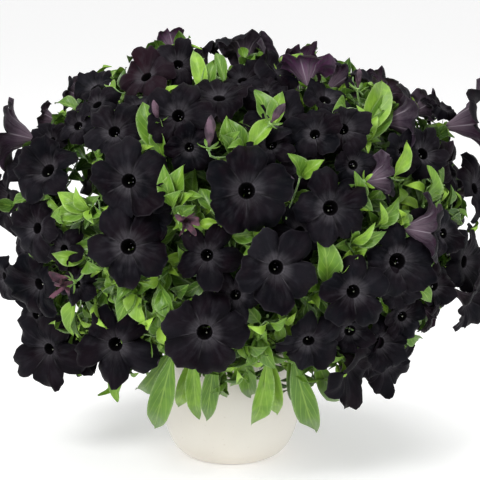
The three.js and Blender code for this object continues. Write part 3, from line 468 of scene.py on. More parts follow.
def all_blooms():
    """Every bloom of the CAD model: its middle, its axis, its diameter and the turn of its lobes."""
    blooms = []
    for across, up, diameter, lift, turn, tilt in FRONT_BLOOMS:
        blooms.append({"middle": on_dome(across, up, lift), "axis": aimed(turn, tilt), "diameter": diameter})
    for follower, leader, push in PRESSED:
        way = unit(blooms[leader]["middle"] - blooms[follower]["middle"])
        blooms[follower]["middle"] = blooms[follower]["middle"] + way * push
    for place in range(BACK_PAIRS):
        direction = back_place(place, BACK_PAIRS, BACK_PAIR_PHASE)
        if direction[2] < BACK_LOWEST:
            continue
        centre = dome_point(direction, 1 + BACK_UNEVENNESS * spread(place, 1))
        sway = vector(*[most * spread(place, 2 + k) for k, most in enumerate(BACK_SWAY)])
        outward = unit(dome_normal(centre) + sway + BACK_NOD)
        across = unit(np.cross(outward, UPRIGHT))
        turn = math.pi * draw(place, 5)
        beside = across * math.cos(turn) + np.cross(outward, across) * math.sin(turn)
        for side in (-1, 1):
            blooms.append({
                "middle": centre + beside * (side * PAIR_SPACING * BACK_DIAMETER / 2),
                "axis": unit(outward + beside * (side * PAIR_TILT)),
                "diameter": BACK_DIAMETER * (1 + BACK_VARIATION * spread(2 * place + side, 10)),
            })
    for index, bloom in enumerate(blooms):
        bloom["index"] = index
        dress(bloom)
    return blooms


def dress(bloom):
    """Gives a bloom the turn of its lobes, its own directions and its seat."""
    bloom["roll"] = math.radians(72 * draw(bloom["index"], 6))
    upright = UPRIGHT if abs(bloom["axis"][2]) < 0.9 else vector(0, 1, 0)
    bloom["side"] = unit(np.cross(upright, bloom["axis"]))
    bloom["top"] = np.cross(bloom["axis"], bloom["side"])
    bloom["seat"] = bloom["middle"] - bloom["axis"] * (TUBE_LENGTH * bloom["diameter"])


def bloom_points(bloom, angle, radius, height):
    """Points of a bloom from arrays of angle, distance from the axis and height on the axis."""
    angle, radius, height = np.broadcast_arrays(angle, radius, height)
    return (
        bloom["middle"]
        + bloom["side"] * (radius * np.cos(angle))[..., None]
        + bloom["top"] * (radius * np.sin(angle))[..., None]
        + bloom["axis"] * height[..., None]
    )


def main_stems():
    """Where each main stem leaves the soil, and the curve that it follows into the dome."""
    stems = []
    for count, radius, rise, phase in STEM_RINGS:
        for k in range(count):
            angle = 2 * math.pi * (k + phase) / count
            climb = math.radians(rise + STEM_UNEVENNESS * spread(len(stems), 9))
            flat = math.cos(climb)
            direction = vector(math.cos(angle) * flat, math.sin(angle) * flat, math.sin(climb))
            foot = vector(radius * math.cos(angle), radius * math.sin(angle), SOIL_TOP)
            tip = dome_point(direction, STEM_REACH)
            curve = [foot, foot + UPRIGHT * STEM_UPRIGHT, tip - direction * STEM_SWEEP, tip]
            stems.append({"direction": direction, "curve": curve, "index": len(stems), "taken": []})
    return stems


def shoot_start(stem, end):
    """The free place on a main stem that gives a shoot a short way and a natural lean."""
    best = None
    for notch in range(SHOOT_PLACES):
        if notch in stem["taken"]:
            continue
        place = SHOOT_LOWEST + SHOOT_SPACING * notch
        start = bezier(stem["curve"], place)
        reach = np.linalg.norm(end - start)
        lean = bezier_tangent(stem["curve"], place) @ unit(end - start)
        score = abs(lean - SHOOT_LEAN) + SHORTNESS * reach
        if best is None or score < best[0]:
            best = (score, notch, place, start)
    stem["taken"].append(best[1])
    return best[2], best[3]


def shoot_curve(stem, place, start, end, arrival, bend):
    """A shoot's curve. Bend 0 is the plain one, and each further bend swings its middle aside."""
    reach = np.linalg.norm(end - start)
    swing = BENDS[math.ceil(bend / BEND_ANGLES)]
    angle = 2 * math.pi * (bend % BEND_ANGLES) / BEND_ANGLES
    chord = unit(end - start)
    across = unit(np.cross(chord, UPRIGHT if abs(chord[2]) < 0.95 else RIGHT))
    shift = across * (swing * math.cos(angle)) + np.cross(chord, across) * (swing * math.sin(angle))
    leaving = start + bezier_tangent(stem["curve"], place) * (LEAVING_SHARE * reach)
    arriving = end - arrival * min(ARRIVING_SHARE * reach, ARRIVING_MOST)
    return [start, leaving + shift, arriving + shift, end]


def plain_ring(curve, steps, place):
    """The three corners of a CAD shoot at one of its steps."""
    points = [bezier(curve, k / steps) for k in range(steps + 1)]
    chord = unit(points[-1] - points[0])
    aside = unit(np.cross(chord, UPRIGHT)) if abs(chord[2]) < 0.95 else RIGHT
    way = unit(points[place + 1] - points[place - 1])
    across = unit(np.cross(way, aside))
    upward = np.cross(way, across)
    turns = [2 * math.pi * side / 3 for side in range(3)]
    return [
        points[place] + (across * math.cos(a) + upward * math.sin(a)) * SHOOT_RADIUS for a in turns]


class Nearby:
    """Looks up how near a CAD node's corners lie to some points."""

    def __init__(self, node):
        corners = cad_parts[node].data.vertices
        self.tree = KDTree(len(corners))
        for k, corner in enumerate(corners):
            self.tree.insert(corner.co / MM, k)
        self.tree.balance()

    def share_met(self, points):
        met = [self.tree.find(Vector(p))[2] < MATCH_DISTANCE for p in points]
        return sum(met) / len(met)

    def distance(self, points):
        return sum(min(self.tree.find(Vector(p))[2], FAR_DISTANCE) for p in points) / len(points)


def grow_shoots(stems, owners, lookups):
    """Gives each bloom or spray its shoot, bent as its CAD solid is."""
    for owner in owners:
        end, arrival = owner["end"], owner["arrival"]
        direction = dome_direction(end)
        stem = max(stems, key=lambda s: s["direction"] @ direction)
        place, start = shoot_start(stem, end)
        steps = 3 if "seat" in owner else 2
        best = None
        for bend in range(1 + BEND_ANGLES * (len(BENDS) - 1)):
            curve = shoot_curve(stem, place, start, end, arrival, bend)
            corners = [p for at in range(1, steps) for p in plain_ring(curve, steps, at)]
            distance = lookups[stem["index"]].distance(corners)
            if best is None or distance < best[0]:
                best = (distance, curve)
        owner["stem"], owner["curve"] = stem["index"], best[1]


def all_sprays():
    """Every leafy shoot: its end, the way that it arrives there and its leaves."""
    sprays = []
    for at, leaves in FRONT_SPRAYS:
        surface = on_dome(at[0], at[1], 0)
        normal = dome_normal(surface)
        tips = [(on_dome(a, u, SPRAY_TIP_LIFT), width) for a, u, width in leaves]
        sprays.append({"end": surface - normal * SPRAY_DEPTH, "arrival": normal, "leaves": tips})
    for place in range(BACK_SPRAYS):
        direction = back_place(place, BACK_SPRAYS, BACK_SPRAY_PHASE)
        if direction[2] < BACK_SPRAY_LOWEST:
            continue
        index = len(sprays)
        surface = dome_point(direction, 1)
        normal = dome_normal(surface)
        side = unit(np.cross(normal, UPRIGHT))
        lift = np.cross(side, normal)
        tips = []
        for k in range(BACK_SPRAY_LEAVES):
            item = index * 5 + k
            angle = 2 * math.pi * (k + 0.3 * spread(item, 11)) / BACK_SPRAY_LEAVES + index
            reach = BACK_LEAF_REACH * (1 + 0.25 * spread(item, 12))
            tip = surface + side * (reach * math.cos(angle)) + lift * (reach * math.sin(angle))
            width = BACK_LEAF_WIDTH * (1 + 0.2 * spread(item, 13))
            tips.append((tip + normal * (2 - 0.2 * reach), width))
        sprays.append({"end": surface - normal * SPRAY_DEPTH, "arrival": normal, "leaves": tips})
    return sprays


def leaf_face(root, tip):
    """The way that a leaf's upper side looks."""
    normal = dome_normal(tip)
    way = unit(tip - root)
    flat = normal - way * (normal @ way)
    return unit(flat) if np.linalg.norm(flat) > 0.2 else unit(np.cross(way, RIGHT))


def tried_leaf(leaf, attempt):
    turn, raised, share = LEAF_TRIES[attempt]
    way = leaf["tip"] - leaf["root"]
    length = np.linalg.norm(way)
    normal = dome_normal(leaf["tip"])
    across = unit(np.cross(way, normal))
    bent = unit(way + across * (turn * length) + normal * raised)
    tip = leaf["root"] + bent * (length * share)
    return {**leaf, "tip": tip, "width": leaf["width"] * (0.4 + 0.6 * share)}


def leaf_corners(leaf):
    """The margin corners and the tip of a CAD leaf."""
    root, tip = leaf["root"], leaf["tip"]
    way = unit(tip - root)
    length = np.linalg.norm(tip - root)
    across = unit(np.cross(way, leaf_face(root, tip)))
    outward = np.cross(across, way)
    corners = [tip]
    for place, half, rise in leaf["stations"]:
        middle = root + way * (place * length) + outward * (rise * LEAF_ARCH * length)
        for side in (-1, 1):
            corners.append(
                middle + across * (side * half * leaf["width"]) + outward * (LEAF_FOLD * leaf["width"]))
    return corners


def cad_leaves(blooms, sprays, lookups):
    """The leaves that the CAD stems carry, each where its solid was placed."""
    leaves = []
    for spray in sprays:
        for k, (tip, width) in enumerate(spray["leaves"]):
            root = spray["end"] - spray["arrival"] * (LEAF_SPACING * (k + 0.4))
            leaves.append({
                "root": root, "tip": tip, "width": width, "stem": spray["stem"], "stations": BROAD_LEAF})
    for bloom in blooms:
        if bloom["index"] % 2 == 0:
            continue
        root = bezier(bloom["curve"], AXIL_LEAF_PLACE)
        way = bezier_tangent(bloom["curve"], AXIL_LEAF_PLACE)
        normal = dome_normal(root)
        side = unit(np.cross(way, normal))
        turn = 2 * math.pi * draw(bloom["index"], 14)
        out = side * math.cos(turn) + np.cross(side, way) * math.sin(turn)
        length = AXIL_LEAF_LENGTH * (1 + 0.2 * spread(bloom["index"], 15))
        leaves.append({
            "root": root,
            "tip": root + out * (0.75 * length) + normal * (0.55 * length),
            "width": AXIL_LEAF_WIDTH * (1 + 0.15 * spread(bloom["index"], 16)),
            "stem": bloom["stem"],
            "stations": SMALL_LEAF,
        })
    placed = []
    for leaf in leaves:
        tries = [tried_leaf(leaf, attempt) for attempt in range(len(LEAF_TRIES))]
        shares = [lookups[leaf["stem"]].share_met(leaf_corners(one)) for one in tries]
        if max(shares) >= 0.5:
            placed.append(tries[shares.index(max(shares))])
    return placed


class Skin:
    """Collects the points, faces, finishes and maps of one piece."""

    def __init__(self):
        self.points, self.faces, self.finishes, self.maps, self.tones = [], [], [], [], []
        self.count = 0

    def sheet(self, grid, u, v, finish, tone=0.5, closed=False, capped=False):
        """A sheet of quads over rows of points. u and v map its columns and rows."""
        rows, columns = grid.shape[:2]
        turns = columns if closed else columns - 1
        r, c = np.meshgrid(np.arange(rows - 1), np.arange(turns), indexing="ij")
        r, c = r.ravel(), c.ravel()
        n = (c + 1) % columns
        quads = np.stack([r * columns + c, r * columns + n, (r + 1) * columns + n, (r + 1) * columns + c], 1)
        u = np.append(u, 2 * u[-1] - u[-2]) if closed else u
        corners = np.stack([
            np.stack([u[c], v[r]], 1), np.stack([u[c + 1], v[r]], 1),
            np.stack([u[c + 1], v[r + 1]], 1), np.stack([u[c], v[r + 1]], 1)], 1)
        self.faces.extend((quads + self.count).tolist())
        self.maps.append(corners.reshape(-1, 2))
        self.finishes.extend([finish] * len(quads))
        if capped:
            for row, step in ((0, -1), (rows - 1, 1)):
                edge = np.arange(columns)[::step] + row * columns + self.count
                self.faces.append(edge.tolist())
                self.maps.append(np.repeat([[u[0], v[row]]], columns, 0))
                self.finishes.append(finish)
        self.points.append(grid.reshape(-1, 3))
        self.tones.append(np.full(rows * columns, tone))
        self.count += rows * columns

    def tube(self, points, radii, sides, finish):
        """A round stem along points, without a twist."""
        points = np.asarray(points)
        ways = np.gradient(points, axis=0)
        ways /= np.linalg.norm(ways, axis=1)[:, None]
        across = sideways(ways[0])
        rings = []
        angles = np.arange(sides) * 2 * math.pi / sides
        for point, way, radius in zip(points, ways, radii):
            across = unit(across - way * (across @ way))
            upward = np.cross(way, across)
            rings.append(
                point + radius * (np.cos(angles)[:, None] * across + np.sin(angles)[:, None] * upward))
        self.sheet(
            np.array(rings), np.linspace(0, 1, sides + 1)[:-1], np.linspace(0, 1, len(points)),
            finish, closed=True, capped=True)

    def make(self, name, materials, replaced=()):
        """Turns the collected sheets into one smooth piece that rides on the root."""
        mesh = bpy.data.meshes.new(name)
        mesh.from_pydata((np.concatenate(self.points) * MM).tolist(), [], self.faces)
        for material in materials:
            mesh.materials.append(material)
        mesh.polygons.foreach_set("material_index", np.array(self.finishes, np.int32))
        mesh.polygons.foreach_set("use_smooth", np.ones(len(self.faces), bool))
        layer = mesh.uv_layers.new(name="Grown")
        layer.uv.foreach_set("vector", np.concatenate(self.maps).astype(np.float32).ravel())
        tone = mesh.attributes.new("tone", "FLOAT", "POINT")
        tone.data.foreach_set("value", np.concatenate(self.tones).astype(np.float32))
        mesh.update()
        piece = bpy.data.objects.new(name, mesh)
        bpy.context.scene.collection.objects.link(piece)
        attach(piece, "root")
        if replaced:
            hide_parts(*replaced)


def smooth_profile(points, count):
    """A smooth curve of a number of points through a few (radius, height) pairs."""
    points = np.array(points, float)
    ends = np.vstack([2 * points[0] - points[1], points, 2 * points[-1] - points[-2]])
    steps = np.linspace(0, len(points) - 1 - 1e-9, count)
    k = steps.astype(int)
    t = (steps - k)[:, None]
    a, b, c, d = ends[k], ends[k + 1], ends[k + 2], ends[k + 3]
    return 0.5 * (2 * b + (c - a) * t + (2 * a - 5 * b + 4 * c - d) * t**2 + (3 * b - a - 3 * c + d) * t**3)


# The corolla's section in shares of its diameter: from deep in the tube to the rim, and the tube outside
THROAT_SECTION = [
    (0.002, -0.43), (0.03, -0.42), (0.05, -0.33), (0.06, -0.25), (0.07, -0.17), (0.08, -0.11),
    (0.088, -0.08), (0.099, -0.06), (0.125, -0.045), (0.17, -0.03), (0.22, -0.012), (0.275, 0.004),
    (0.33, 0.014), (0.385, 0.016), (0.43, 0.01), (0.462, 0), (0.485, -0.01),
]
TUBE_SECTION = [(0.135, -0.085), (0.11, -0.14), (0.088, -0.21), (0.072, -0.3), (0.058, -0.39)]
LIMB_START = 0.13
RIM_RADIUS = 0.485
NOTCH_RADIUS = 0.41
LOBE_REACH = 0.515
FACE_LIFT = 0.15
BACK_DROP = 0.35
CONTROLS = 3 * LOBES
LOBE_ANGLE = 1.26


def rim_controls(bloom):
    """The angle, radius factor and ruffle of each CAD corner of the rim, from the first notch on."""
    step = 2 * math.pi / LOBES
    angles, factors, ruffles = [], [], []
    for k in range(CONTROLS):
        lobe = k // 3
        item = bloom["index"] * 20 + k
        ruffle = RIM_RUFFLE * spread(item, 7)
        if k % 3 == 0:
            angles.append(lobe * step)
            factors.append(1)
            ruffles.append(0.5 * ruffle)
        else:
            angles.append((lobe + 0.5) * step + (-1 if k % 3 == 1 else 1) * LOBE_SHOULDER_ANGLE)
            factors.append(1 + 0.06 * spread(item, 8))
            ruffles.append(ruffle)
    return np.array(angles), np.array(factors), np.array(ruffles)


def round_the_rim(angles, knots, values):
    """Eases from one control value to the next round the rim."""
    full = 2 * math.pi
    knots = np.append(knots, full)
    values = np.append(values, values[0])
    k = np.clip(np.searchsorted(knots, angles, side="right") - 1, 0, len(knots) - 2)
    t = (angles - knots[k]) / (knots[k + 1] - knots[k])
    t = t * t * (3 - 2 * t)
    return values[k] * (1 - t) + values[k + 1] * t


def lobe_shape(bloom, lobe_columns):
    """The outline, curls, waves and folds of a bloom's lobes, column by column round the rim."""
    index = bloom["index"]
    step = np.arange(lobe_columns * LOBES) / lobe_columns
    which = step.astype(int)
    in_lobe = step % 1
    in_lobe = in_lobe - 0.055 * np.sin(2 * math.pi * in_lobe)
    lobe = which + in_lobe
    turn = lobe * 2 * math.pi / LOBES
    knots, factors, ruffles = rim_controls(bloom)
    star = STARRY.get(index, draw(index, 49))
    seam = np.where(in_lobe < 0.5, which, (which + 1) % LOBES)
    middle = np.sin(math.pi * in_lobe)

    def per_lobe(use):
        return np.array([spread(index * 5 + k, use) for k in range(LOBES)])

    # The outline of the lobes, in shares of the diameter
    notch = NOTCH_RADIUS - 0.125 * star + 0.05 * per_lobe(41)[seam]
    reach_out = LOBE_REACH * (1 + 0.09 * per_lobe(42)[which])
    outline = notch + (reach_out - notch) * middle ** (0.42 + 0.36 * star)
    outline = outline * round_the_rim(turn, knots, factors)
    skew = 0.04 * per_lobe(43)[which] * np.sin(2 * math.pi * in_lobe)
    nick = 0.02 * np.sin(2 * math.pi * (3.1 * in_lobe + per_lobe(44)[which])) * middle

    # The height of their curls, waves and folds, where they are greatest
    end_curl = (-0.03 - 0.05 * star + 0.15 * per_lobe(45)[which]) * middle**2
    seam_rise = (0.085 * per_lobe(46)[seam] - 0.035 * star) * (1 - middle**2)
    wave = 0.055 * np.sin(2 * math.pi * (1.7 * in_lobe + per_lobe(47)[which])) * middle
    saddle = 0.08 * np.cos(2 * turn + PHASE * draw(index, 50))
    fine = 0.018 * np.sin(2 * math.pi * (4.3 * in_lobe + per_lobe(48)[which])) * middle
    folded = 0.1 * np.maximum(per_lobe(51)[which] - 0.35, 0) * np.sin(math.pi * np.minimum(1, 1.5 * in_lobe))
    overlap = (0.05 + 0.09 * draw(index, 53)) * (0.5 - in_lobe) * (1 if draw(index, 54) < 0.5 else -1)
    crease = np.exp(-((np.minimum(in_lobe, 1 - in_lobe) / 0.06) ** 2))
    rib = np.exp(-(((in_lobe - 0.5) / 0.05) ** 2))
    return {
        "lobe": lobe, "turn": turn, "outline": outline + skew + nick,
        "ruffle": round_the_rim(turn, knots, ruffles), "waves": end_curl + wave + saddle,
        "seam_rise": seam_rise, "fine": fine, "folds": 0.03 + folded, "overlap": overlap,
        "swell": 0.036 * middle - 0.02, "relief": 0.014 * crease - 0.013 * rib,
    }


def lobe_surface(bloom, shape, section, thickness):
    """The radius and height of each point of a sheet that follows a section out to the rim."""
    index, diameter = bloom["index"], bloom["diameter"]
    growth = LOBE_GROWTH.get(index, 1)
    funnel = FUNNELS.get(index, 0 if index < len(FRONT_BLOOMS) else 0.6 * draw(index, 52))
    radius, height = section[:, :1], section[:, 1:]
    reach = np.clip((radius - LIMB_START) / (RIM_RADIUS - LIMB_START), 0, 1)
    open_share = np.clip((height + 0.42) / 0.36, 0, 1)
    radius = radius * (1 + 0.5 * funnel * open_share * (1 - reach) ** 4)
    height = height - 0.09 * funnel * (1 - reach) ** 1.3 * np.clip((height + 0.46) / 0.3, 0, 1)
    r = (radius + (shape["outline"] - RIM_RADIUS) * reach**1.3) * (1 + (growth - 1) * reach)
    h = height + 0.5 * (growth - 1) * reach + shape["ruffle"] * reach**2
    h = h + shape["waves"] * reach**2.2 + shape["seam_rise"] * reach**1.4
    h = h + shape["fine"] * reach**4 - shape["folds"] * reach**6 + shape["overlap"] * reach**1.5
    belly = reach * (1.1 - reach) * 4
    h = h + shape["swell"] * belly
    h = h + shape["relief"] * np.sqrt(np.clip(belly, 0, 1))
    inner = 1 + 1.6 * np.clip((belly - 0.4) / 0.6, 0, 1)
    return r * diameter, h * diameter + thickness * inner


def corolla(skin, bloom, lobe_columns=13, front_rows=16, tube_rows=5):
    """A trumpet with five ruffled lobes: its velvet face, and its back with the outside of its tube."""
    shape = lobe_shape(bloom, lobe_columns)
    columns = lobe_columns * LOBES
    front = smooth_profile(THROAT_SECTION, front_rows)
    limb = front[front[:, 0] > 0.15][::-1]
    back = np.vstack([limb[1:], smooth_profile(TUBE_SECTION, tube_rows)])
    front_r, front_h = lobe_surface(bloom, shape, front, FACE_LIFT)
    back_r, back_h = lobe_surface(bloom, shape, back, -BACK_DROP)
    last_r = np.full((1, columns), TUBE_BASE_RADIUS)
    last_h = np.full((1, columns), -TUBE_LENGTH * bloom["diameter"])
    r_all = [front_r, np.vstack([front_r[-1:], back_r, last_r])]
    h_all = [front_h, np.vstack([front_h[-1:] - 0.02, back_h, last_h])]
    v_all = [front[:, 0] / RIM_RADIUS, np.concatenate([[1], back[:, 0] / RIM_RADIUS, [0]])]
    tone = 1 if bloom["index"] in MAROON else 0.85 * draw(bloom["index"], 23)
    angle = shape["turn"] + bloom["roll"] - math.pi / LOBES
    for side in (ON_FACE, ON_BACK):
        points = bloom_points(bloom, angle, r_all[side], h_all[side])
        skin.sheet(points, shape["lobe"], v_all[side], side, tone, closed=True)
    pistil(skin, bloom)


def ball(skin, centre, axis, radius, length, finish, tone=0.5):
    """A rounded knob that may be longer along its axis."""
    sides, rings = 8, 6
    side = sideways(axis)
    top = np.cross(axis, side)
    climb = np.linspace(-math.pi / 2, math.pi / 2, rings + 1)
    angles = np.arange(sides) * 2 * math.pi / sides
    r = np.maximum(np.cos(climb), 0.05)[:, None] * radius
    points = (
        centre
        + side * (r * np.cos(angles))[..., None]
        + top * (r * np.sin(angles))[..., None]
        + axis * (np.sin(climb) * length)[:, None, None]
    )
    skin.sheet(points, angles / 7, np.linspace(0, 1, rings + 1), finish, tone, closed=True, capped=True)


# The stigma and the anthers: how far out and how deep they are, in diameters, their size and finish
KNOBS = [(0.035, -0.15, 0.7, ON_STIGMA), (0.04, -0.19, 0.5, ON_ANTHER), (0.04, -0.2, 0.45, ON_ANTHER)]
STYLE_RADIUS = 0.3


def pistil(skin, bloom):
    """The pale stigma on its style, and two small anthers, in the mouth of the tube."""
    index = bloom["index"]
    diameter = bloom["diameter"]
    angle = -1.2 + 0.9 * spread(index, 24)
    for k, (out, depth, size, finish) in enumerate(KNOBS):
        at = angle + 1.4 * k
        centre = bloom_points(bloom, np.array(at), np.array(out * diameter), np.array(depth * diameter))
        ball(skin, centre, bloom["axis"], size, size * 0.8, finish)
    foot = bloom_points(bloom, np.array(0.0), np.array(0.0), np.array(-0.4 * diameter))
    head = bloom_points(bloom, np.array(angle), np.array(0.035 * diameter), np.array(-0.16 * diameter))
    skin.tube([foot, (foot + head) / 2, head], [STYLE_RADIUS] * 3, 5, ON_STYLE)


def aimed(turn, tilt):
    """The direction that a turn to the right and a tilt upwards give, from one that faces the eye."""
    yaw, pitch = math.radians(turn), math.radians(tilt)
    axis = RIGHT * (math.sin(yaw) * math.cos(pitch)) + UP * math.sin(pitch)
    return axis - AHEAD * (math.cos(yaw) * math.cos(pitch))


def frame_of(axis):
    side = sideways(axis)
    return side, np.cross(side, axis)


def around(base, axis, angle, radius, height):
    """Points round an axis from grids of angle, radius and height."""
    side, top = frame_of(axis)
    return (
        base
        + side * (radius * np.cos(angle))[..., None]
        + top * (radius * np.sin(angle))[..., None]
        + axis * height[..., None]
    )


def wilted_bloom(skin, base, axis, size, number):
    """A spent trumpet: a shrunken tube whose limb hangs in thin, crumpled strips."""
    columns, rows = 60, 20
    angle = np.arange(columns) * 2 * math.pi / columns
    t = np.linspace(0, 1, rows)[:, None]
    phase = PHASE * draw(number, 71)
    strip = np.cos(2.5 * angle + phase) ** 2
    crumple = np.sin(9 * angle + phase + 5 * t) + 0.6 * np.sin(14 * angle - phase + 9 * t)
    limb = np.clip((t - 0.35) / 0.65, 0, 1)
    radius = size * (0.06 + 0.04 * t + limb**1.4 * (0.06 + 0.3 * strip + 0.05 * crumple))
    fall = 0.5 + 0.5 * np.sin(3 * angle + 2 * phase)
    height = size * (0.62 * t + limb**1.5 * (0.22 * strip - 0.5 * fall * limb + 0.06 * crumple))
    points = around(base, axis, angle + 1.1 * t, radius, height)
    skin.sheet(points, angle / LOBE_ANGLE, t[:, 0], ON_WILTED, draw(number, 72), closed=True)


def furled_bud(skin, base, axis, size, number):
    """A young bloom, still rolled up in a twisted spindle."""
    columns, rows = 20, 14
    angle = np.arange(columns) * 2 * math.pi / columns
    t = np.linspace(0, 1, rows)[:, None]
    ridge = 1 + 0.16 * np.cos(5 * angle)
    radius = size * 0.145 * np.maximum(np.sin(math.pi * t**1.25) ** 0.75, 0.3 * (1 - t) ** 0.5) * ridge
    height = size * t * np.ones(columns)
    points = around(base, axis, angle + 2.2 * t, radius + 0.05, height)
    skin.sheet(points, angle / LOBE_ANGLE, t[:, 0], ON_FURLED, draw(number, 73), closed=True, capped=True)


def leaf_blade(skin, leaf, arch, tone, rows, wave, crease):
    """A soft oval leaf that folds along its midrib and waves at its margin."""
    root, tip, width = leaf["root"], leaf["tip"], leaf["width"]
    way = unit(tip - root)
    length = np.linalg.norm(tip - root)
    across = unit(np.cross(way, leaf_face(root, tip)))
    outward = np.cross(across, way)
    s = np.linspace(0, 1, rows)
    blade = np.clip((s - LEAF_STALK) / (1 - LEAF_STALK), 0, 1)
    half = 0.5 * width * np.maximum(np.sin(math.pi * blade**0.76) ** 0.88, 0.07 * (1 - blade) + 0.012)
    rise = np.interp(s, [0, 0.3, 0.68, 1], [0, 0.75, 1, 0]) * (arch * length)
    x = np.linspace(-1, 1, LEAF_COLUMNS)
    phase = PHASE * tone
    ripple = wave * width * np.sin(3.2 * math.pi * s + phase)[:, None] * np.abs(x) ** 1.5 * np.sign(x + 1e-9)
    fold = crease * LEAF_FOLD * width * (half / (0.5 * width))[:, None] * np.abs(x) ** 1.3
    twist = 0.12 * width * np.sin(2 * phase) * (s**2)[:, None] * x
    points = (
        root
        + way * (s * length)[:, None, None]
        + across * (half[:, None] * x)[..., None]
        + outward * (rise[:, None] + fold + ripple * (half / (0.5 * width))[:, None] + twist)[..., None]
    )
    skin.sheet(points[:, ::-1], (x + 1) / 2, s, ON_LEAF, tone)


# A sepal, from its foot to its tip: how far out it reaches, how high it climbs and half its width
SEPAL_SECTION = [
    (1.0, -1.4, 0.9), (3.2, -1.1, 1.5), (6.0, -0.2, 1.7), (8.4, 1.2, 1.1),
    (SEPAL_REACH, SEPAL_RISE, 0.15),
]
KNOB_LENGTH = 1.9


def sepals(skin, bloom, tone):
    """Five narrow sepals that cup the foot of a tube, over a small green knob."""
    base = -TUBE_LENGTH * bloom["diameter"]
    reach, climb, half = np.array(SEPAL_SECTION).T
    for k in range(LOBES):
        angle = bloom["roll"] + 2 * math.pi * k / LOBES + 0.15 * spread(bloom["index"] * 5 + k, 26)
        x = np.array([-1.0, 0, 1])
        turn = angle + np.arctan2(half[:, None] * x, reach[:, None])
        r = np.hypot(half[:, None] * x, reach[:, None])
        h = base + climb[:, None] + 0.5 * np.abs(x)
        skin.sheet(bloom_points(bloom, turn, r, h), (x + 1) / 2, np.linspace(0.1, 1, 5), ON_LEAF, tone)
    ball(skin, bloom["seat"] - bloom["axis"] * KNOB_LENGTH, bloom["axis"], 2.2, KNOB_LENGTH, ON_STEM, tone)


def sampled(curve, steps):
    return np.array([bezier(curve, s) for s in np.linspace(0, 1, steps)])


# Roughly how high a corolla's surface lies at a distance from its axis, in shares of its diameter
SURFACE_RADII = [0, 0.06, 0.1, 0.18, 0.27, 0.52]
SURFACE_HEIGHTS = [-0.46, -0.3, -0.125, -0.04, 0, -0.02]
FACE_REACH = 0.54
FACE_CLEARANCE = 2.5
FACE_COVER = 34


class BloomFaces:
    """Tells whether a leaf would cut through a corolla or cover its face."""

    def __init__(self, blooms):
        self.middles = np.array([b["middle"] for b in blooms])
        self.axes = np.array([b["axis"] for b in blooms])
        self.diameters = np.array([b["diameter"] for b in blooms])

    def leaf_is_free(self, root, tip):
        """True if no part of a leaf lies in or before a corolla."""
        return self.is_free(leaf_samples(root, tip))

    def is_free(self, points, cover=FACE_COVER):
        away = np.asarray(points)[:, None] - self.middles
        height = np.einsum("pij,ij->pi", away, self.axes)
        radius = np.sqrt(np.maximum(np.einsum("pij,pij->pi", away, away) - height**2, 0))
        share = radius / self.diameters
        surface = np.interp(share, SURFACE_RADII, SURFACE_HEIGHTS) * self.diameters
        inside = (share < FACE_REACH) & (height < cover) & (height > surface - FACE_CLEARANCE)
        return not inside.any()


def leaf_samples(root, tip):
    """Points all over a leaf."""
    face = leaf_face(root, tip)
    length = np.linalg.norm(tip - root)
    across = unit(np.cross(tip - root, face)) * (0.2 * length)
    points = []
    for s, wide, rise in ((0.25, 0.7, 0.07), (0.42, 1, 0.11), (0.6, 0.95, 0.13), (0.78, 0.6, 0.1)):
        middle = root + (tip - root) * s + face * (rise * length)
        points += [middle, middle + across * wide, middle - across * wide]
    return [*points, root + (tip - root) * 0.1, tip]


def eye_place(points):
    """How far across and up from its target the eye sees points."""
    away = np.asarray(points) - (EYE_TARGET - AHEAD * EYE_DISTANCE)
    scale = EYE_DISTANCE / (away @ AHEAD)
    return (away @ RIGHT) * scale, (away @ UP) * scale


def in_opening(points):
    """True if the eye would see any of the points in an opening between the leaves."""
    across, up = eye_place(points)
    return any((np.hypot(across - a, up - u) < radius).any() for a, u, radius in OPENINGS)


# Node groups and materials
def socket(tree, name, kind, default=None, out=False):
    made = tree.interface.new_socket(
        name=name, in_out="OUTPUT" if out else "INPUT", socket_type=f"NodeSocket{kind}")
    if default is not None:
        made.default_value = default
    return made


class Bench:
    """A small helper that places and links nodes in a tree."""

    def __init__(self, tree):
        self.tree = tree

    def add(self, kind, **settings):
        node = self.tree.nodes.new(kind)
        for key, value in settings.items():
            setattr(node, key, value)
        return node

    def feed(self, node, name, value):
        entry = node.inputs[name]
        if hasattr(value, "is_linked"):
            self.tree.links.new(value, entry)
        else:
            entry.default_value = value

    def maths(self, operation, *values):
        node = self.add("ShaderNodeMath", operation=operation)
        for k, value in enumerate(values):
            self.feed(node, k, value)
        return node.outputs[0]

    def times(self, first, second):
        return self.maths("MULTIPLY", first, second)

    def off_middle(self, value):
        """How far a value from 0 to 1 lies from a half."""
        return self.maths("ABSOLUTE", self.maths("SUBTRACT", value, 0.5))

    def mix(self, share, first, second):
        node = self.add("ShaderNodeMix", data_type="RGBA")
        self.feed(node, 0, share)
        self.feed(node, 6, first)
        self.feed(node, 7, second)
        return node.outputs[2]

    def steps(self, value, low, high, bottom=0.0, top=1.0):
        node = self.add("ShaderNodeMapRange", interpolation_type="SMOOTHSTEP")
        for name, number in (
            ("Value", value), ("From Min", low), ("From Max", high), ("To Min", bottom), ("To Max", top)):
            self.feed(node, name, number)
        return node.outputs["Result"]

    def noise(self, place, scale, detail=3.0, rough=0.5):
        node = self.add("ShaderNodeTexNoise")
        self.feed(node, "Vector", place)
        self.feed(node, "Scale", scale)
        self.feed(node, "Detail", detail)
        self.feed(node, "Roughness", rough)
        return node.outputs["Fac"]


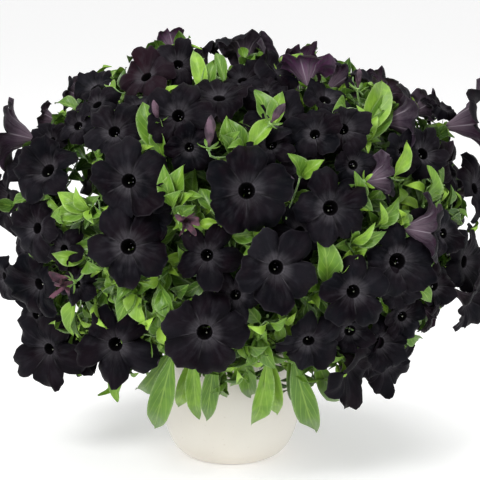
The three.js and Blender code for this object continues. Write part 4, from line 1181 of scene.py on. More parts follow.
def patches_group():
    """Soft patches and a fine grain over any surface of the plant or the bowl."""
    tree = bpy.data.node_groups.new("Soft patches", "ShaderNodeTree")
    socket(tree, "Place", "Vector")
    socket(tree, "Patch scale", "Float", 60.0)
    socket(tree, "Grain scale", "Float", 900.0)
    socket(tree, "Patches", "Float", out=True)
    socket(tree, "Grain", "Float", out=True)
    bench = Bench(tree)
    given = bench.add("NodeGroupInput")
    left = bench.add("NodeGroupOutput")
    patches = bench.noise(given.outputs["Place"], given.outputs["Patch scale"], 3.0)
    grain = bench.noise(given.outputs["Place"], given.outputs["Grain scale"], 2.0, 0.6)
    bench.feed(left, "Patches", bench.steps(patches, 0.35, 0.65))
    bench.feed(left, "Grain", grain)
    return tree


def veins_group():
    """A midrib with side veins that sweep towards the tip, over a map that runs root to tip."""
    tree = bpy.data.node_groups.new("Swept veins", "ShaderNodeTree")
    socket(tree, "Across", "Float", 0.5)
    socket(tree, "Along", "Float", 0.5)
    socket(tree, "Pairs", "Float", 7.0)
    socket(tree, "Sweep", "Float", 0.55)
    socket(tree, "Veins", "Float", out=True)
    bench = Bench(tree)
    given = bench.add("NodeGroupInput")
    left = bench.add("NodeGroupOutput")
    offset = bench.off_middle(given.outputs["Across"])
    midrib = bench.steps(offset, 0.012, 0.05, 1.0, 0.0)
    lag = bench.times(offset, given.outputs["Sweep"])
    along = bench.maths("SUBTRACT", given.outputs["Along"], lag)
    cycle = bench.maths("PINGPONG", bench.times(along, given.outputs["Pairs"]), 0.5)
    side = bench.steps(cycle, 0.02, 0.1, 1.0, 0.0)
    fading = bench.steps(offset, 0.3, 0.48, 0.75, 0.1)
    both = bench.maths("MAXIMUM", midrib, bench.times(side, fading))
    bench.feed(left, "Veins", both)
    return tree


def streaks_group():
    """Fine streaks that run from the throat of a bloom to its rim."""
    tree = bpy.data.node_groups.new("Petal streaks", "ShaderNodeTree")
    socket(tree, "Across", "Float", 0.5)
    socket(tree, "Along", "Float", 0.5)
    socket(tree, "Tone", "Float", 0.5)
    socket(tree, "Streak", "Float", out=True)
    bench = Bench(tree)
    given = bench.add("NodeGroupInput")
    left = bench.add("NodeGroupOutput")
    place = bench.add("ShaderNodeCombineXYZ")
    bench.feed(place, "X", bench.times(given.outputs["Across"], 3.6))
    bench.feed(place, "Y", bench.times(given.outputs["Along"], 1.5))
    bench.feed(place, "Z", bench.times(given.outputs["Tone"], 40.0))
    bench.feed(left, "Streak", bench.noise(place.outputs[0], 1.6, 3.0, 0.6))
    return tree


PATCHES = patches_group()
VEINS = veins_group()
STREAKS = streaks_group()


def new_material(name):
    material = bpy.data.materials.new(name)
    material.use_nodes = True
    tree = material.node_tree
    tree.nodes.clear()
    bench = Bench(tree)
    shader = bench.add("ShaderNodeBsdfPrincipled")
    out = bench.add("ShaderNodeOutputMaterial")
    tree.links.new(shader.outputs[0], out.inputs["Surface"])
    return material, bench, shader


def place_in_plant(bench):
    return bench.add("ShaderNodeTexCoord").outputs["Object"]


def patches(bench, patch_scale, grain_scale):
    node = bench.add("ShaderNodeGroup", node_tree=PATCHES)
    bench.feed(node, "Place", place_in_plant(bench))
    bench.feed(node, "Patch scale", patch_scale)
    bench.feed(node, "Grain scale", grain_scale)
    return node.outputs["Patches"], node.outputs["Grain"]


def veins(bench, across, along, pairs, sweep):
    node = bench.add("ShaderNodeGroup", node_tree=VEINS)
    bench.feed(node, "Across", across)
    bench.feed(node, "Along", along)
    bench.feed(node, "Pairs", pairs)
    bench.feed(node, "Sweep", sweep)
    return node.outputs["Veins"]


def streaks(bench, across, along, tone):
    node = bench.add("ShaderNodeGroup", node_tree=STREAKS)
    bench.feed(node, "Across", across)
    bench.feed(node, "Along", along)
    bench.feed(node, "Tone", tone)
    return node.outputs["Streak"]


def grown_map(bench):
    """Across and along the leaf or petal, and the piece's own tone."""
    uv = bench.add("ShaderNodeUVMap", uv_map="Grown")
    split = bench.add("ShaderNodeSeparateXYZ")
    bench.feed(split, 0, uv.outputs[0])
    tone = bench.add("ShaderNodeAttribute", attribute_name="tone")
    return split.outputs["X"], split.outputs["Y"], tone.outputs["Fac"]


def bump(bench, shader, height, strength, distance):
    node = bench.add("ShaderNodeBump")
    bench.feed(node, "Strength", strength)
    bench.feed(node, "Distance", distance)
    bench.feed(node, "Height", height)
    bench.feed(shader, "Normal", node.outputs[0])


def leaf_material():
    """Soft green with paler veins and a downy margin: deep on dark leaves and fresh on light ones."""
    material, bench, shader = new_material("leaf green")
    across, along, tone = grown_map(bench)
    patch, grain = patches(bench, 90.0, 700.0)
    low = bench.mix(bench.steps(tone, 0.0, 0.5), (0.024, 0.062, 0.009, 1), (0.102, 0.215, 0.016, 1))
    fresh = bench.mix(bench.steps(tone, 0.55, 1.0), low, (0.32, 0.54, 0.05, 1))
    shaded = bench.mix(bench.times(patch, 0.45), fresh, (0.045, 0.12, 0.016, 1))
    ribs = veins(bench, across, along, 5.5, 0.75)
    colour = bench.mix(bench.times(ribs, 0.32), shaded, (0.38, 0.55, 0.11, 1))
    aside = bench.off_middle(across)
    downy = bench.times(bench.steps(aside, 0.4, 0.5), bench.steps(grain, 0.35, 0.6, 0.05, 0.3))
    colour = bench.mix(downy, colour, (0.55, 0.66, 0.36, 1))
    bench.feed(shader, "Base Color", colour)
    bench.feed(shader, "Roughness", bench.steps(grain, 0.3, 0.7, 0.32, 0.46))
    bench.feed(shader, "Specular IOR Level", 0.34)
    bench.feed(shader, "Sheen Weight", 0.05)
    bench.feed(shader, "Sheen Roughness", 0.5)
    bench.feed(shader, "Sheen Tint", (0.8, 0.9, 0.6, 1))
    height = bench.maths("SUBTRACT", bench.times(grain, 0.15), bench.times(ribs, 0.6))
    bump(bench, shader, height, 0.25, 0.0004)
    return material


def stem_material():
    """The paler green of stems, shoots and calyces, with a short down."""
    material, bench, shader = new_material("stem green")
    patch, grain = patches(bench, 120.0, 1500.0)
    colour = bench.mix(patch, (0.13, 0.27, 0.05, 1), (0.24, 0.4, 0.1, 1))
    bench.feed(shader, "Base Color", colour)
    bench.feed(shader, "Roughness", bench.steps(grain, 0.3, 0.7, 0.5, 0.7))
    bench.feed(shader, "Sheen Weight", 0.6)
    bench.feed(shader, "Sheen Tint", (0.85, 0.95, 0.8, 1))
    bump(bench, shader, grain, 0.4, 0.0003)
    return material


def velvet_ground_and_painted_light(bench, across, along, tone, patch, uneven):
    """Near-black that is warmer in patches, with painted sheen in broad patches and on some lobes, and
    painted shadow where a neighbour's lobe overlaps the start of a lobe.
    """
    depth = bench.mix(tone, (0.0008, 0.0012, 0.0024, 1), (0.0024, 0.0011, 0.0024, 1))
    warm = bench.mix(bench.times(patch, 0.6), depth, (0.0062, 0.0022, 0.0044, 1))
    redder = bench.mix(bench.steps(tone, 0.9, 1.0), warm, (0.012, 0.0026, 0.006, 1))
    # Broad lighter patches and lighter lobes: painted sheen and painted light on the velvet.
    sheen_patches, _ = patches(bench, 24.0, 60.0)
    painted_lightness = bench.maths("SUBTRACT", bench.times(bench.maths("ADD", sheen_patches, uneven), 0.34), 0.12)
    sheen_lifted = bench.mix(painted_lightness, redder, (0.013, 0.0128, 0.0165, 1))
    # Darkest where each lobe starts: painted shadow cast by the overlapping neighbour lobe.
    neighbour_shadow = bench.steps(bench.maths("FRACT", across), 0.03, 0.3, 1.0, 0.0)
    shade = bench.times(neighbour_shadow, bench.steps(along, 0.2, 0.9, 0.8, 0.3))
    return bench.mix(shade, sheen_lifted, (0.0008, 0.0008, 0.0012, 1))


def velvet_mist(bench, along, fold, patch, streak, uneven):
    """Where the pale ring round the throat shows, and the painted highlights along the folds that run out of
    it.
    """
    halo = bench.times(bench.steps(along, 0.18, 0.22), bench.steps(along, 0.24, 0.5, 1.0, 0.0))
    ring = bench.times(bench.steps(along, 0.18, 0.205), bench.steps(along, 0.21, 0.27, 1.0, 0.0))
    highlight_rays = bench.times(bench.steps(along, 0.19, 0.26), bench.steps(along, 0.3, 0.8, 1.0, 0.0))
    broken = bench.steps(streak, 0.25, 0.75, 0.3, 0.85)
    # Pale lines along the folds out of the throat: painted highlights on the raised folds.
    drawn = bench.times(bench.times(fold, highlight_rays), bench.steps(patch, 0.0, 1.0, 0.2, 0.75))
    soft = bench.times(bench.maths("MAXIMUM", bench.times(halo, 0.62), ring), broken)
    misty = bench.maths("MAXIMUM", bench.times(soft, 0.85), bench.times(drawn, 0.55))
    return bench.times(misty, bench.steps(uneven, 0.0, 1.0, 0.35, 1.25))


def petal_face_material():
    """Near-black velvet with a black throat, a pale ring round it, and faint folds and streaks, with painted
    sheen, painted highlights on folds, bands and edges, and painted shadow between overlapping lobes.
    """
    material, bench, shader = new_material("velvet petal")
    across, along, tone = grown_map(bench)
    patch, grain = patches(bench, 55.0, 1300.0)
    streak = streaks(bench, across, along, tone)
    fold = bench.steps(bench.maths("PINGPONG", across, 0.5), 0.01, 0.05, 1.0, 0.0)
    midline = bench.steps(bench.off_middle(bench.maths("FRACT", across)), 0.005, 0.05, 0.45, 0.0)
    lobe = bench.add("ShaderNodeCombineXYZ")
    bench.feed(lobe, "X", bench.maths("FLOOR", across))
    bench.feed(lobe, "Y", bench.times(tone, 97.0))
    drawn = bench.add("ShaderNodeTexWhiteNoise")
    bench.feed(drawn, "Vector", lobe.outputs[0])
    uneven = drawn.outputs["Value"]
    # The petal colour with its painted sheen and painted shadow between lobes.
    ground = velvet_ground_and_painted_light(bench, across, along, tone, patch, uneven)
    mist = velvet_mist(bench, along, fold, patch, streak, uneven)
    # The pale ring round the throat, and the painted highlights along the folds.
    colour = bench.mix(mist, ground, (0.1, 0.093, 0.104, 1))
    # Broad pale bands along the streaks: painted sheen.
    sheen_band = bench.times(bench.steps(streak, 0.45, 0.75), bench.steps(along, 0.95, 0.5, 0.4, 1.0))
    colour = bench.mix(bench.times(sheen_band, 0.28), colour, (0.033, 0.031, 0.038, 1))
    # A pale line along the lobe edges: painted rim highlight.
    edge = bench.times(bench.steps(along, 0.955, 1.0), bench.steps(streak, 0.3, 0.6))
    colour = bench.mix(bench.times(edge, 0.2), colour, (0.06, 0.055, 0.062, 1))
    throat = bench.steps(along, 0.17, 0.205, 1.0, 0.0)
    colour = bench.mix(throat, colour, (0.003, 0.0025, 0.003, 1))
    bench.feed(shader, "Base Color", colour)
    bench.feed(shader, "Roughness", bench.steps(grain, 0.3, 0.7, 0.4, 0.54))
    bench.feed(shader, "Specular IOR Level", 0.03)
    bench.feed(shader, "Sheen Weight", 0.01)
    bench.feed(shader, "Sheen Roughness", 0.3)
    bench.feed(shader, "Sheen Tint", (0.8, 0.76, 0.9, 1))
    lines = bench.maths("MAXIMUM", fold, midline)
    height = bench.maths("ADD", bench.times(grain, 0.25), bench.times(lines, 0.7))
    height = bench.maths("ADD", height, bench.times(streak, 1.1))
    bump(bench, shader, height, 0.7, 0.001)
    return material


def petal_back_material():
    """The dusty purple outside of a trumpet, paler on its tube, with darker veins, and painted highlights on
    its ridges and rim.
    """
    material, bench, shader = new_material("dusty petal back")
    across, along, tone = grown_map(bench)
    _, grain = patches(bench, 70.0, 1300.0)
    in_lobe = bench.maths("FRACT", across)
    fan = veins(bench, in_lobe, along, 6.0, 0.8)
    streak = streaks(bench, across, along, tone)
    depth = bench.mix(tone, (0.017, 0.01, 0.021, 1), (0.038, 0.013, 0.03, 1))
    depth = bench.mix(bench.steps(tone, 0.9, 1.0), depth, (0.065, 0.016, 0.058, 1))
    dusty = bench.mix(bench.steps(streak, 0.35, 0.7), depth, (0.05, 0.035, 0.051, 1))
    tube = bench.steps(along, 0.42, 0.12)
    pale = bench.mix(bench.times(tube, 0.55), dusty, (0.16, 0.11, 0.145, 1))
    colour = bench.mix(bench.times(fan, 0.5), pale, (0.016, 0.006, 0.018, 1))
    ridge = bench.steps(bench.maths("PINGPONG", across, 0.5), 0.015, 0.06, 1.0, 0.0)
    lit = bench.times(ridge, bench.steps(along, 0.8, 0.3, 0.0, 0.5))
    colour = bench.mix(lit, colour, (0.3, 0.26, 0.3, 1))
    # A pale line along the rim: painted rim highlight.
    edge = bench.steps(along, 0.95, 1.0)
    colour = bench.mix(bench.times(edge, 0.5), colour, (0.13, 0.1, 0.13, 1))
    bench.feed(shader, "Base Color", colour)
    bench.feed(shader, "Roughness", bench.steps(grain, 0.3, 0.7, 0.5, 0.68))
    bench.feed(shader, "Specular IOR Level", 0.3)
    bench.feed(shader, "Sheen Weight", 0.08)
    bench.feed(shader, "Sheen Roughness", 0.4)
    bench.feed(shader, "Sheen Tint", (0.75, 0.66, 0.8, 1))
    height = bench.maths("SUBTRACT", bench.times(grain, 0.35), bench.times(fan, 0.8))
    bump(bench, shader, height, 0.5, 0.0005)
    return material


def two_tone_material(name, dark, light, roughness, scale=400.0):
    """A plain finish that wanders between two colours, for the small parts of a bloom."""
    material, bench, shader = new_material(name)
    patch, grain = patches(bench, scale, scale * 4)
    bench.feed(shader, "Base Color", bench.mix(patch, dark, light))
    bench.feed(shader, "Roughness", bench.steps(grain, 0.3, 0.7, roughness - 0.08, roughness + 0.08))
    bump(bench, shader, grain, 0.3, 0.0003)
    return material


def glaze_material():
    """Cream glaze with a soft gloss, faint drifts of colour and tiny pits."""
    material, bench, shader = new_material("cream glaze")
    patch, grain = patches(bench, 14.0, 420.0)
    drift = bench.mix(bench.times(patch, 0.6), (0.77, 0.73, 0.65, 1), (0.82, 0.79, 0.72, 1))
    split = bench.add("ShaderNodeSeparateXYZ")
    bench.feed(split, 0, place_in_plant(bench))
    foot = bench.steps(split.outputs["Z"], 0.03, 0.0)
    colour = bench.mix(bench.times(foot, 0.25), drift, (0.66, 0.58, 0.47, 1))
    pits = bench.steps(grain, 0.68, 0.76)
    colour = bench.mix(bench.times(pits, 0.35), colour, (0.55, 0.47, 0.37, 1))
    bench.feed(shader, "Base Color", colour)
    bench.feed(shader, "Roughness", bench.steps(patch, 0.0, 1.0, 0.3, 0.4))
    bench.feed(shader, "Coat Weight", 0.35)
    bench.feed(shader, "Coat Roughness", 0.15)
    height = bench.maths("SUBTRACT", bench.times(patch, 0.4), bench.times(pits, 0.3))
    bump(bench, shader, height, 0.25, 0.0006)
    return material


def soil_material():
    """Dark, moist crumbs with a few light specks."""
    material, bench, shader = new_material("potting mix")
    patch, grain = patches(bench, 260.0, 1200.0)
    colour = bench.mix(patch, (0.018, 0.011, 0.007, 1), (0.06, 0.04, 0.026, 1))
    bench.feed(shader, "Base Color", bench.mix(bench.steps(grain, 0.6, 0.7), colour, (0.14, 0.1, 0.06, 1)))
    bench.feed(shader, "Roughness", bench.steps(patch, 0.0, 1.0, 0.85, 1.0))
    bump(bench, shader, bench.maths("ADD", patch, grain), 1.0, 0.002)
    return material


LEAF = leaf_material()
STEM = stem_material()
VELVET = petal_face_material()
DUSTY = petal_back_material()
STIGMA = two_tone_material("stigma", (0.14, 0.15, 0.11, 1), (0.26, 0.27, 0.22, 1), 0.4)
ANTHER = two_tone_material("anther", (0.1, 0.09, 0.12, 1), (0.2, 0.18, 0.22, 1), 0.7)
STYLE = two_tone_material("style", (0.012, 0.014, 0.008, 1), (0.03, 0.034, 0.02, 1), 0.5)
WILTED = two_tone_material("wilted petal", (0.02, 0.005, 0.012, 1), (0.1, 0.032, 0.055, 1), 0.65, 160.0)
FURLED = two_tone_material("furled petal", (0.024, 0.01, 0.02, 1), (0.1, 0.052, 0.08, 1), 0.6, 120.0)
GLAZE = glaze_material()
SOIL = soil_material()
PETALS = [VELVET, DUSTY, STIGMA, ANTHER, STYLE]


def bowl_radius(height):
    if height < POT_BELLY_HEIGHT:
        below = 1 - height / POT_BELLY_HEIGHT
        rise = math.sqrt(max(1 - below**2.2, 0))
        return POT_FOOT_RADIUS + (POT_BELLY_RADIUS - POT_FOOT_RADIUS) * rise
    above = (height - POT_BELLY_HEIGHT) / (POT_HEIGHT - POT_BELLY_HEIGHT)
    return POT_BELLY_RADIUS - (POT_BELLY_RADIUS - POT_RIM_RADIUS) * above**2


def bowl():
    """The glazed bowl, turned finely, with a rounded lip and a thin foot ring."""
    outside = [(bowl_radius(h), h) for h in POT_OUTER_HEIGHTS]
    lip = POT_RIM_RADIUS - POT_WALL / 2
    rolled = [
        (lip + POT_WALL / 2 * math.cos(a), POT_HEIGHT - POT_LIP_HEIGHT + POT_LIP_HEIGHT * math.sin(a))
        for a in np.linspace(0.15, math.pi - 0.15, 9)]
    inside = [(bowl_radius(h) - POT_WALL, h) for h in POT_INNER_HEIGHTS]
    section = [(0.5, 0), (POT_FOOT_RADIUS - 1.2, 0), (POT_FOOT_RADIUS, 0.25)]
    section += [*outside, *rolled, *inside, (20, POT_FLOOR), (0.5, POT_FLOOR)]
    section = np.array(section)
    angles = np.arange(POT_SIDES) * 2 * math.pi / POT_SIDES
    radius, height = section[:, :1], section[:, 1:]
    wobble = 1 + POT_WOBBLE * np.sin(2 * angles + 0.7) * np.clip(height / 40, 0, 1)
    level = np.broadcast_to(height, (len(section), POT_SIDES))
    grid = np.stack([radius * wobble * np.cos(angles), radius * wobble * np.sin(angles), level], 2)
    skin = Skin()
    skin.sheet(grid, angles, height[:, 0] / POT_HEIGHT, 0, closed=True)
    skin.make("glazed_bowl", [GLAZE], ["pot"])


def fine_blooms(blooms):
    """One piece for each CAD node of blooms, with every bloom whose foot is on that node."""
    lookup = {name: Nearby(name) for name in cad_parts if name.startswith("blooms_")}
    groups = {name: [] for name in lookup}
    step = 2 * math.pi / LOBES
    for bloom in blooms:
        foot = bloom_points(
            bloom, bloom["roll"] + (np.arange(LOBES) - 0.5) * step, TUBE_BASE_RADIUS,
            -TUBE_LENGTH * bloom["diameter"])
        groups[min(lookup, key=lambda name: lookup[name].distance(foot))].append(bloom)
    for name, members in groups.items():
        skin = Skin()
        for bloom in members:
            corolla(skin, bloom)
        skin.make("petals_" + name, PETALS, [name])


def tucked_blooms(blooms, joints):
    """The blooms of the second layer, which show between the others."""
    tucked = []
    for across, up, diameter, depth, turn, tilt in TUCKED_BLOOMS:
        middle = on_dome(across, up, -depth)
        tucked.append({"middle": middle, "axis": aimed(turn, tilt), "diameter": diameter})
    for place in range(TUCKED_PLACES):
        direction = even_place(place, TUCKED_PLACES)
        if direction[2] < TUCKED_LOWEST or direction @ -AHEAD > TUCKED_FRONT:
            continue
        centre = dome_point(direction, TUCKED_SHARE)
        if eye_place(centre[None])[1][0] > SILHOUETTE_TOP:
            continue
        diameter = between(*TUCKED_DIAMETERS, place, 61)
        crowded = [
            other for other in [*blooms, *tucked]
            if np.linalg.norm(other["middle"] - centre) < TUCKED_CROWDING * (diameter + other["diameter"])]
        if crowded:
            continue
        sway = vector(*[TUCKED_SWAY * spread(place, 62 + k) for k in range(3)])
        tucked.append({"middle": centre, "axis": unit(dome_normal(centre) + sway), "diameter": diameter})
    for number, bloom in enumerate(tucked):
        bloom["index"] = FIRST_TUCKED + number
        dress(bloom)
        end = bloom["seat"] - bloom["axis"] * CALYX_DEPTH
        bloom["curve"], bloom["stem"], _ = branch(joints, end, bloom["axis"])
    return tucked


def buds_and_wilted(joints, faces):
    """One piece with every furled bud and wilted bloom. Gives back the calyx that each stands in."""
    skin = Skin()
    calyces = []
    rows = [(row, wilted_bloom) for row in WILTED_BLOOMS] + [(row, furled_bud) for row in FURLED_BUDS]
    for number, ((across, up, size, lift, turn, tilt), grow) in enumerate(rows):
        base, axis = on_dome(across, up, lift), aimed(turn, tilt)
        grow(skin, base, axis, size, number)
        calyces.append(bud_calyx(joints, base, axis, number))
    for place in range(BACK_BUDS):
        direction = back_place(place, BACK_BUDS, BACK_BUD_PHASE)
        if direction[2] < BACK_LOWEST:
            continue
        base = dome_point(direction, BACK_BUD_SHARE)
        if base[2] > BACK_BUD_HIGHEST:
            continue
        axis = unit(dome_normal(base) + vector(0.4 * spread(place, 74), 0, 0.5))
        size = between(*BACK_BUD_LENGTHS, place, 75)
        if faces.is_free([base, base + axis * size], cover=20):
            grow = wilted_bloom if place % 4 == 3 else furled_bud
            grow(skin, base, axis, size, FIRST_BACK_BUD + place)
            calyces.append(bud_calyx(joints, base, axis, FIRST_BACK_BUD + place))
    skin.make("buds", [WILTED, FURLED])
    return calyces


def bud_calyx(joints, base, axis, number):
    """The calyx of a bud, as a bloom's is, and its stalk from the nearest shoot."""
    calyx = {"seat": base, "middle": base, "axis": axis, "diameter": 0}
    calyx["index"], calyx["roll"] = FIRST_BUD + number, 0.4 * number
    calyx["side"], calyx["top"] = frame_of(axis)
    calyx["curve"], calyx["stem"], _ = branch(joints, base - axis * 3, axis)
    return calyx


def leaf_start(curve, place, turn):
    """Where a leaf leaves its twig, the twig's way there, and the way that the leaf sets out."""
    way = bezier_tangent(curve, place)
    side = sideways(way)
    return bezier(curve, place), way, side * math.cos(turn) + np.cross(way, side) * math.sin(turn)


def leaf_width(length, item, use):
    return length * FILL_SLENDERNESS * (0.85 + 0.3 * draw(item, use))


def has_room(faces, root, tip):
    """True if a leaf is clear of the blooms and of the openings that the eye sees."""
    return faces.leaf_is_free(root, tip) and not in_opening(leaf_samples(root, tip))


def fill_leaves(owners, faces):
    """Extra leaves along every shoot, wherever they pass clear of the blooms."""
    leaves = []
    for number, owner in enumerate(owners):
        for k in range(FILL_TRIES):
            item = number * 31 + k
            place = FILL_START + FILL_STRETCH * (k + draw(item, 31)) / FILL_TRIES
            turn = LEAF_TURN * k + PHASE * draw(number, 32)
            root, way, out = leaf_start(owner["curve"], place, turn)
            length = between(*FILL_LENGTHS, item, 33)
            tip = root + unit(out + dome_normal(root) * 0.8 + way * 0.35) * length
            if not has_room(faces, root, tip):
                continue
            past = np.linalg.norm((tip - DOME_CENTRE) / DOME_RADII) > FILL_LIMIT
            if past and tip[2] > DOME_CENTRE[2] - FILL_FOOT:
                continue
            leaves.append({
                "root": root, "tip": tip, "width": leaf_width(length, item, 34), "stem": owner["stem"],
                "tone": draw(item, 35), "rows": FILL_ROWS})
    return leaves


def joints_of(owners):
    """Places on the shoots where a twig may branch off: point, way and stem."""
    return [
        (bezier(owner["curve"], s), bezier_tangent(owner["curve"], s), owner.get("stem", owner.get("index")))
        for owner in owners for s in JOINT_PLACES]


def branch(joints, end, arrival):
    """A twig's curve from the nearest joint, and the stem that it grows on."""
    start, way, stem = min(joints, key=lambda joint: np.linalg.norm(joint[0] - end))
    reach = np.linalg.norm(end - start)
    return [start, start + way * (0.3 * reach), end - arrival * (0.35 * reach), end], stem, reach


def young_leaves(joints, faces):
    """The young leaves that show from the front, in tufts on twigs from the nearest shoots."""
    twigs, leaves = [], []
    for number, (at, tips) in enumerate(YOUNG_LEAVES):
        surface = on_dome(at[0], at[1], 0)
        normal = dome_normal(surface)
        end = surface - normal * SPRAY_DEPTH
        curve, stem, _ = branch(joints, end, normal)
        twigs.append((curve, stem))
        for k, (across, up, width) in enumerate(tips):
            tip = on_dome(across, up, SPRAY_TIP_LIFT)
            if not faces.leaf_is_free(end, tip):
                continue
            leaves.append({
                "root": end - normal * 1.2 * k, "tip": tip, "width": width,
                "stem": stem, "tone": 0.35 + 0.45 * draw(number * 7 + k, 36), "rows": FILL_ROWS})
    return twigs, leaves


def side_twigs(joints, faces):
    """Short leafy twigs that fill the dome evenly between the shoots."""
    twigs, leaves = [], []
    for layer, (count, low, high, each, short, long, rows, painted_lightness) in enumerate(TWIG_LAYERS):
        for place in range(count):
            item = layer * 4000 + place
            direction = even_place(place, count, 0.4 * spread(item, 51))
            if direction[2] < TWIG_LOWEST:
                continue
            end = dome_point(direction, between(low, high, item, 52))
            normal = dome_normal(end)
            curve, stem, reach = branch(joints, end, normal)
            if reach > TWIG_LONGEST:
                continue
            kept = 0
            for k in range(each):
                leaf = item * 11 + k
                turn = LEAF_TURN * k + PHASE * draw(item, 53)
                root, _, out = leaf_start(curve, 1 - 0.75 * k / each, turn)
                length = between(short, long, leaf, 54)
                tip = root + unit(out + normal * (0.35 + 0.3 * draw(leaf, 55))) * length
                if not has_room(faces, root, tip):
                    continue
                kept += 1
                # The tone is scaled down in the deeper layers: painted shade of the inner foliage.
                leaves.append({
                    "root": root, "tip": tip, "width": leaf_width(length, leaf, 56), "stem": stem,
                    "tone": draw(leaf, 57) * painted_lightness, "rows": rows})
            if kept:
                twigs.append((curve, stem))
    return twigs, leaves


def hanging_leaves(joints, faces):
    """Leafy twigs that hang over the bowl at its sides and back."""
    twigs, leaves = [], []
    for place in range(HANGING_TWIGS):
        angle = 2 * math.pi * (place + 0.4 * spread(place, 81)) / HANGING_TWIGS
        outward = vector(math.cos(angle), math.sin(angle), 0)
        if outward @ -AHEAD > HANGING_FRONT:
            continue
        end = outward * between(*HANGING_REACH, place, 82) + UPRIGHT * between(*HANGING_HEIGHTS, place, 83)
        curve, stem, _ = branch(joints, end, unit(outward - UPRIGHT))
        twigs.append((curve, stem))
        for k in range(HANGING_LEAVES):
            item = place * 9 + k
            across = np.cross(UPRIGHT, outward) * (0.7 * spread(item, 84))
            length = between(*HANGING_LENGTHS, item, 85)
            root = bezier(curve, 1 - 0.06 * k)
            tip = root + unit(outward * (0.1 + 0.4 * draw(item, 86)) + across - UPRIGHT) * length
            if faces.leaf_is_free(root, tip):
                leaves.append({
                    "root": root, "tip": tip, "width": HANGING_SLENDERNESS * length, "stem": stem,
                    "tone": 0.3 + 0.5 * draw(item, 87), "rows": HANGING_ROWS})
    return twigs, leaves


def main_stem(skin, stem):
    """A main stem, from the bottom of its hole in the soil to its tip."""
    steps = 16
    foot = stem["curve"][0]
    rooted = [foot - UPRIGHT * HOLE_DEPTH, foot + UPRIGHT * STEM_COLLAR]
    radii = [STEM_END_RADIUS, STEM_RADIUS]
    radii += [STEM_RADIUS + (STEM_TIP_RADIUS - STEM_RADIUS) * k / (steps - 1) for k in range(1, steps)]
    skin.tube(np.vstack([*rooted, sampled(stem["curve"], steps)[1:]]), radii, 8, ON_STEM)


def stalk(skin, curve, steps, thick, thin, sides):
    skin.tube(sampled(curve, steps), np.linspace(thick, thin, steps), sides, ON_STEM)


def fine_stems(stems, blooms, sprays, leaves, extra, twigs, tucked):
    """One piece for each CAD leafy stem: stems, shoots, sepals and every leaf on them."""
    for stem in stems:
        index = stem["index"]
        skin = Skin()
        main_stem(skin, stem)
        for owner in [*blooms, *sprays]:
            if owner["stem"] == index:
                stalk(skin, owner["curve"], *SHOOT_STALK)
                if "seat" in owner:
                    sepals(skin, owner, 0.55 + 0.3 * spread(owner["index"], 27))
        for curve, owner in twigs:
            if owner == index:
                stalk(skin, curve, *TWIG_STALK)
        for bloom in tucked:
            if bloom["stem"] == index:
                stalk(skin, bloom["curve"], *TUCKED_STALK)
                sepals(skin, bloom, 0.55)
        for number, leaf in enumerate(leaves):
            if leaf["stem"] == index:
                tone = 0.3 + 0.55 * draw(number, 28)
                leaf_blade(skin, leaf, 1.3 * LEAF_ARCH, tone, LEAF_ROWS, wave=0.1, crease=2.2)
        for leaf in extra:
            if leaf["stem"] == index:
                tone = leaf["tone"]
                leaf_blade(skin, leaf, 0.1 + 0.16 * tone, tone, leaf["rows"], wave=0.08, crease=2.4)
        skin.make(f"foliage_{index + 1}", [LEAF, STEM], [f"leafy_stem_{index + 1}"])


# The studio, in metres and watts. A light has its name, place, aim, size and power
FLOOR_REACH = 14
FLOOR_GLOW = 0.22
BACKDROP_STRENGTH = 0.76
LIGHTS = [
    ("key light", (-0.8, -1.4, 1.4), (0, 0, 0.25), 0.6, 24),
    ("fill light", (1.3, -1.2, 0.9), (0, 0, 0.25), 1.0, 7),
    ("top light", (0.2, 0.2, 2.0), (0, 0, 0.3), 0.8, 11),
]


def in_scene(name, data):
    holder = bpy.data.objects.new(name, data)
    bpy.context.scene.collection.objects.link(holder)
    return holder


def pale_floor():
    floor = bpy.data.meshes.new("floor")
    corners = [(x * FLOOR_REACH, y * FLOOR_REACH, 0) for x, y in ((-1, -1), (1, -1), (1, 1), (-1, 1))]
    floor.from_pydata(corners, [], [(0, 1, 2, 3)])
    material, bench, shader = new_material("pale floor")
    bench.feed(shader, "Base Color", (0.93, 0.93, 0.93, 1))
    bench.feed(shader, "Roughness", 0.7)
    bench.feed(shader, "Emission Color", (1, 1, 1, 1))
    bench.feed(shader, "Emission Strength", FLOOR_GLOW)
    floor.materials.append(material)
    ground = in_scene("floor", floor)


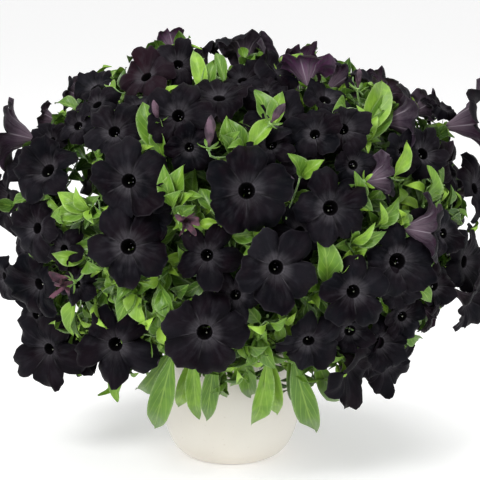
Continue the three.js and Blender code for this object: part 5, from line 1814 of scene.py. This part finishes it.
def soft_lights():
    """A white backdrop that lights from all sides, and three square lights."""
    world = bpy.data.worlds.new("studio")
    bpy.context.scene.world = world
    world.use_nodes = True
    backdrop = world.node_tree.nodes["Background"]
    backdrop.inputs["Color"].default_value = (1, 1, 1, 1)
    backdrop.inputs["Strength"].default_value = BACKDROP_STRENGTH
    for name, place, aim, size, power in LIGHTS:
        lamp = bpy.data.lights.new(name, "AREA")
        lamp.shape = "SQUARE"
        lamp.size = size
        lamp.energy = power
        holder = in_scene(name, lamp)
        holder.location = place
        holder.rotation_mode = "QUATERNION"
        holder.rotation_quaternion = (Vector(aim) - Vector(place)).to_track_quat("-Z", "Y")


def eye_camera():
    """The camera, at the photograph's angle."""
    camera = bpy.data.cameras.new("camera")
    camera.lens = EYE_LENS
    camera.sensor_width = 36
    camera.clip_end = 100
    holder = in_scene("camera", camera)
    turn = Matrix([RIGHT, UP, -AHEAD]).transposed().to_4x4()
    holder.matrix_world = Matrix.Translation(Vector((EYE_TARGET - AHEAD * EYE_DISTANCE) * MM)) @ turn
    bpy.context.scene.camera = holder
    bpy.context.scene.view_settings.view_transform = "Standard"


pale_floor()
soft_lights()
eye_camera()
bowl()
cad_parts["soil"].data.materials.clear()
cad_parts["soil"].data.materials.append(SOIL)

blooms = all_blooms()
fine_blooms(blooms)
for bloom in blooms:
    bloom["end"] = bloom["seat"] - bloom["axis"] * CALYX_DEPTH
    bloom["arrival"] = bloom["axis"]
stems = main_stems()
lookups = [Nearby(f"leafy_stem_{stem['index'] + 1}") for stem in stems]
sprays = all_sprays()
grow_shoots(stems, blooms, lookups)
grow_shoots(stems, sprays, lookups)
leaves = cad_leaves(blooms, sprays, lookups)
shoots = [*blooms, *sprays]
joints = joints_of([*shoots, *stems])
tucked = tucked_blooms(blooms, joints)
tucked_skin = Skin()
for bloom in tucked:
    corolla(tucked_skin, bloom, 9, 13, 3)
tucked_skin.make("tucked_blooms", PETALS)
faces = BloomFaces([*blooms, *tucked])
tucked += buds_and_wilted(joints, faces)
twigs, young = young_leaves(joints, faces)
more_twigs, more_leaves = side_twigs(joints, faces)
low_twigs, low_leaves = hanging_leaves(joints, faces)
extra = fill_leaves(shoots, faces) + young + more_leaves + low_leaves
fine_stems(stems, blooms, sprays, leaves, extra, twigs + more_twigs + low_twigs, tucked)
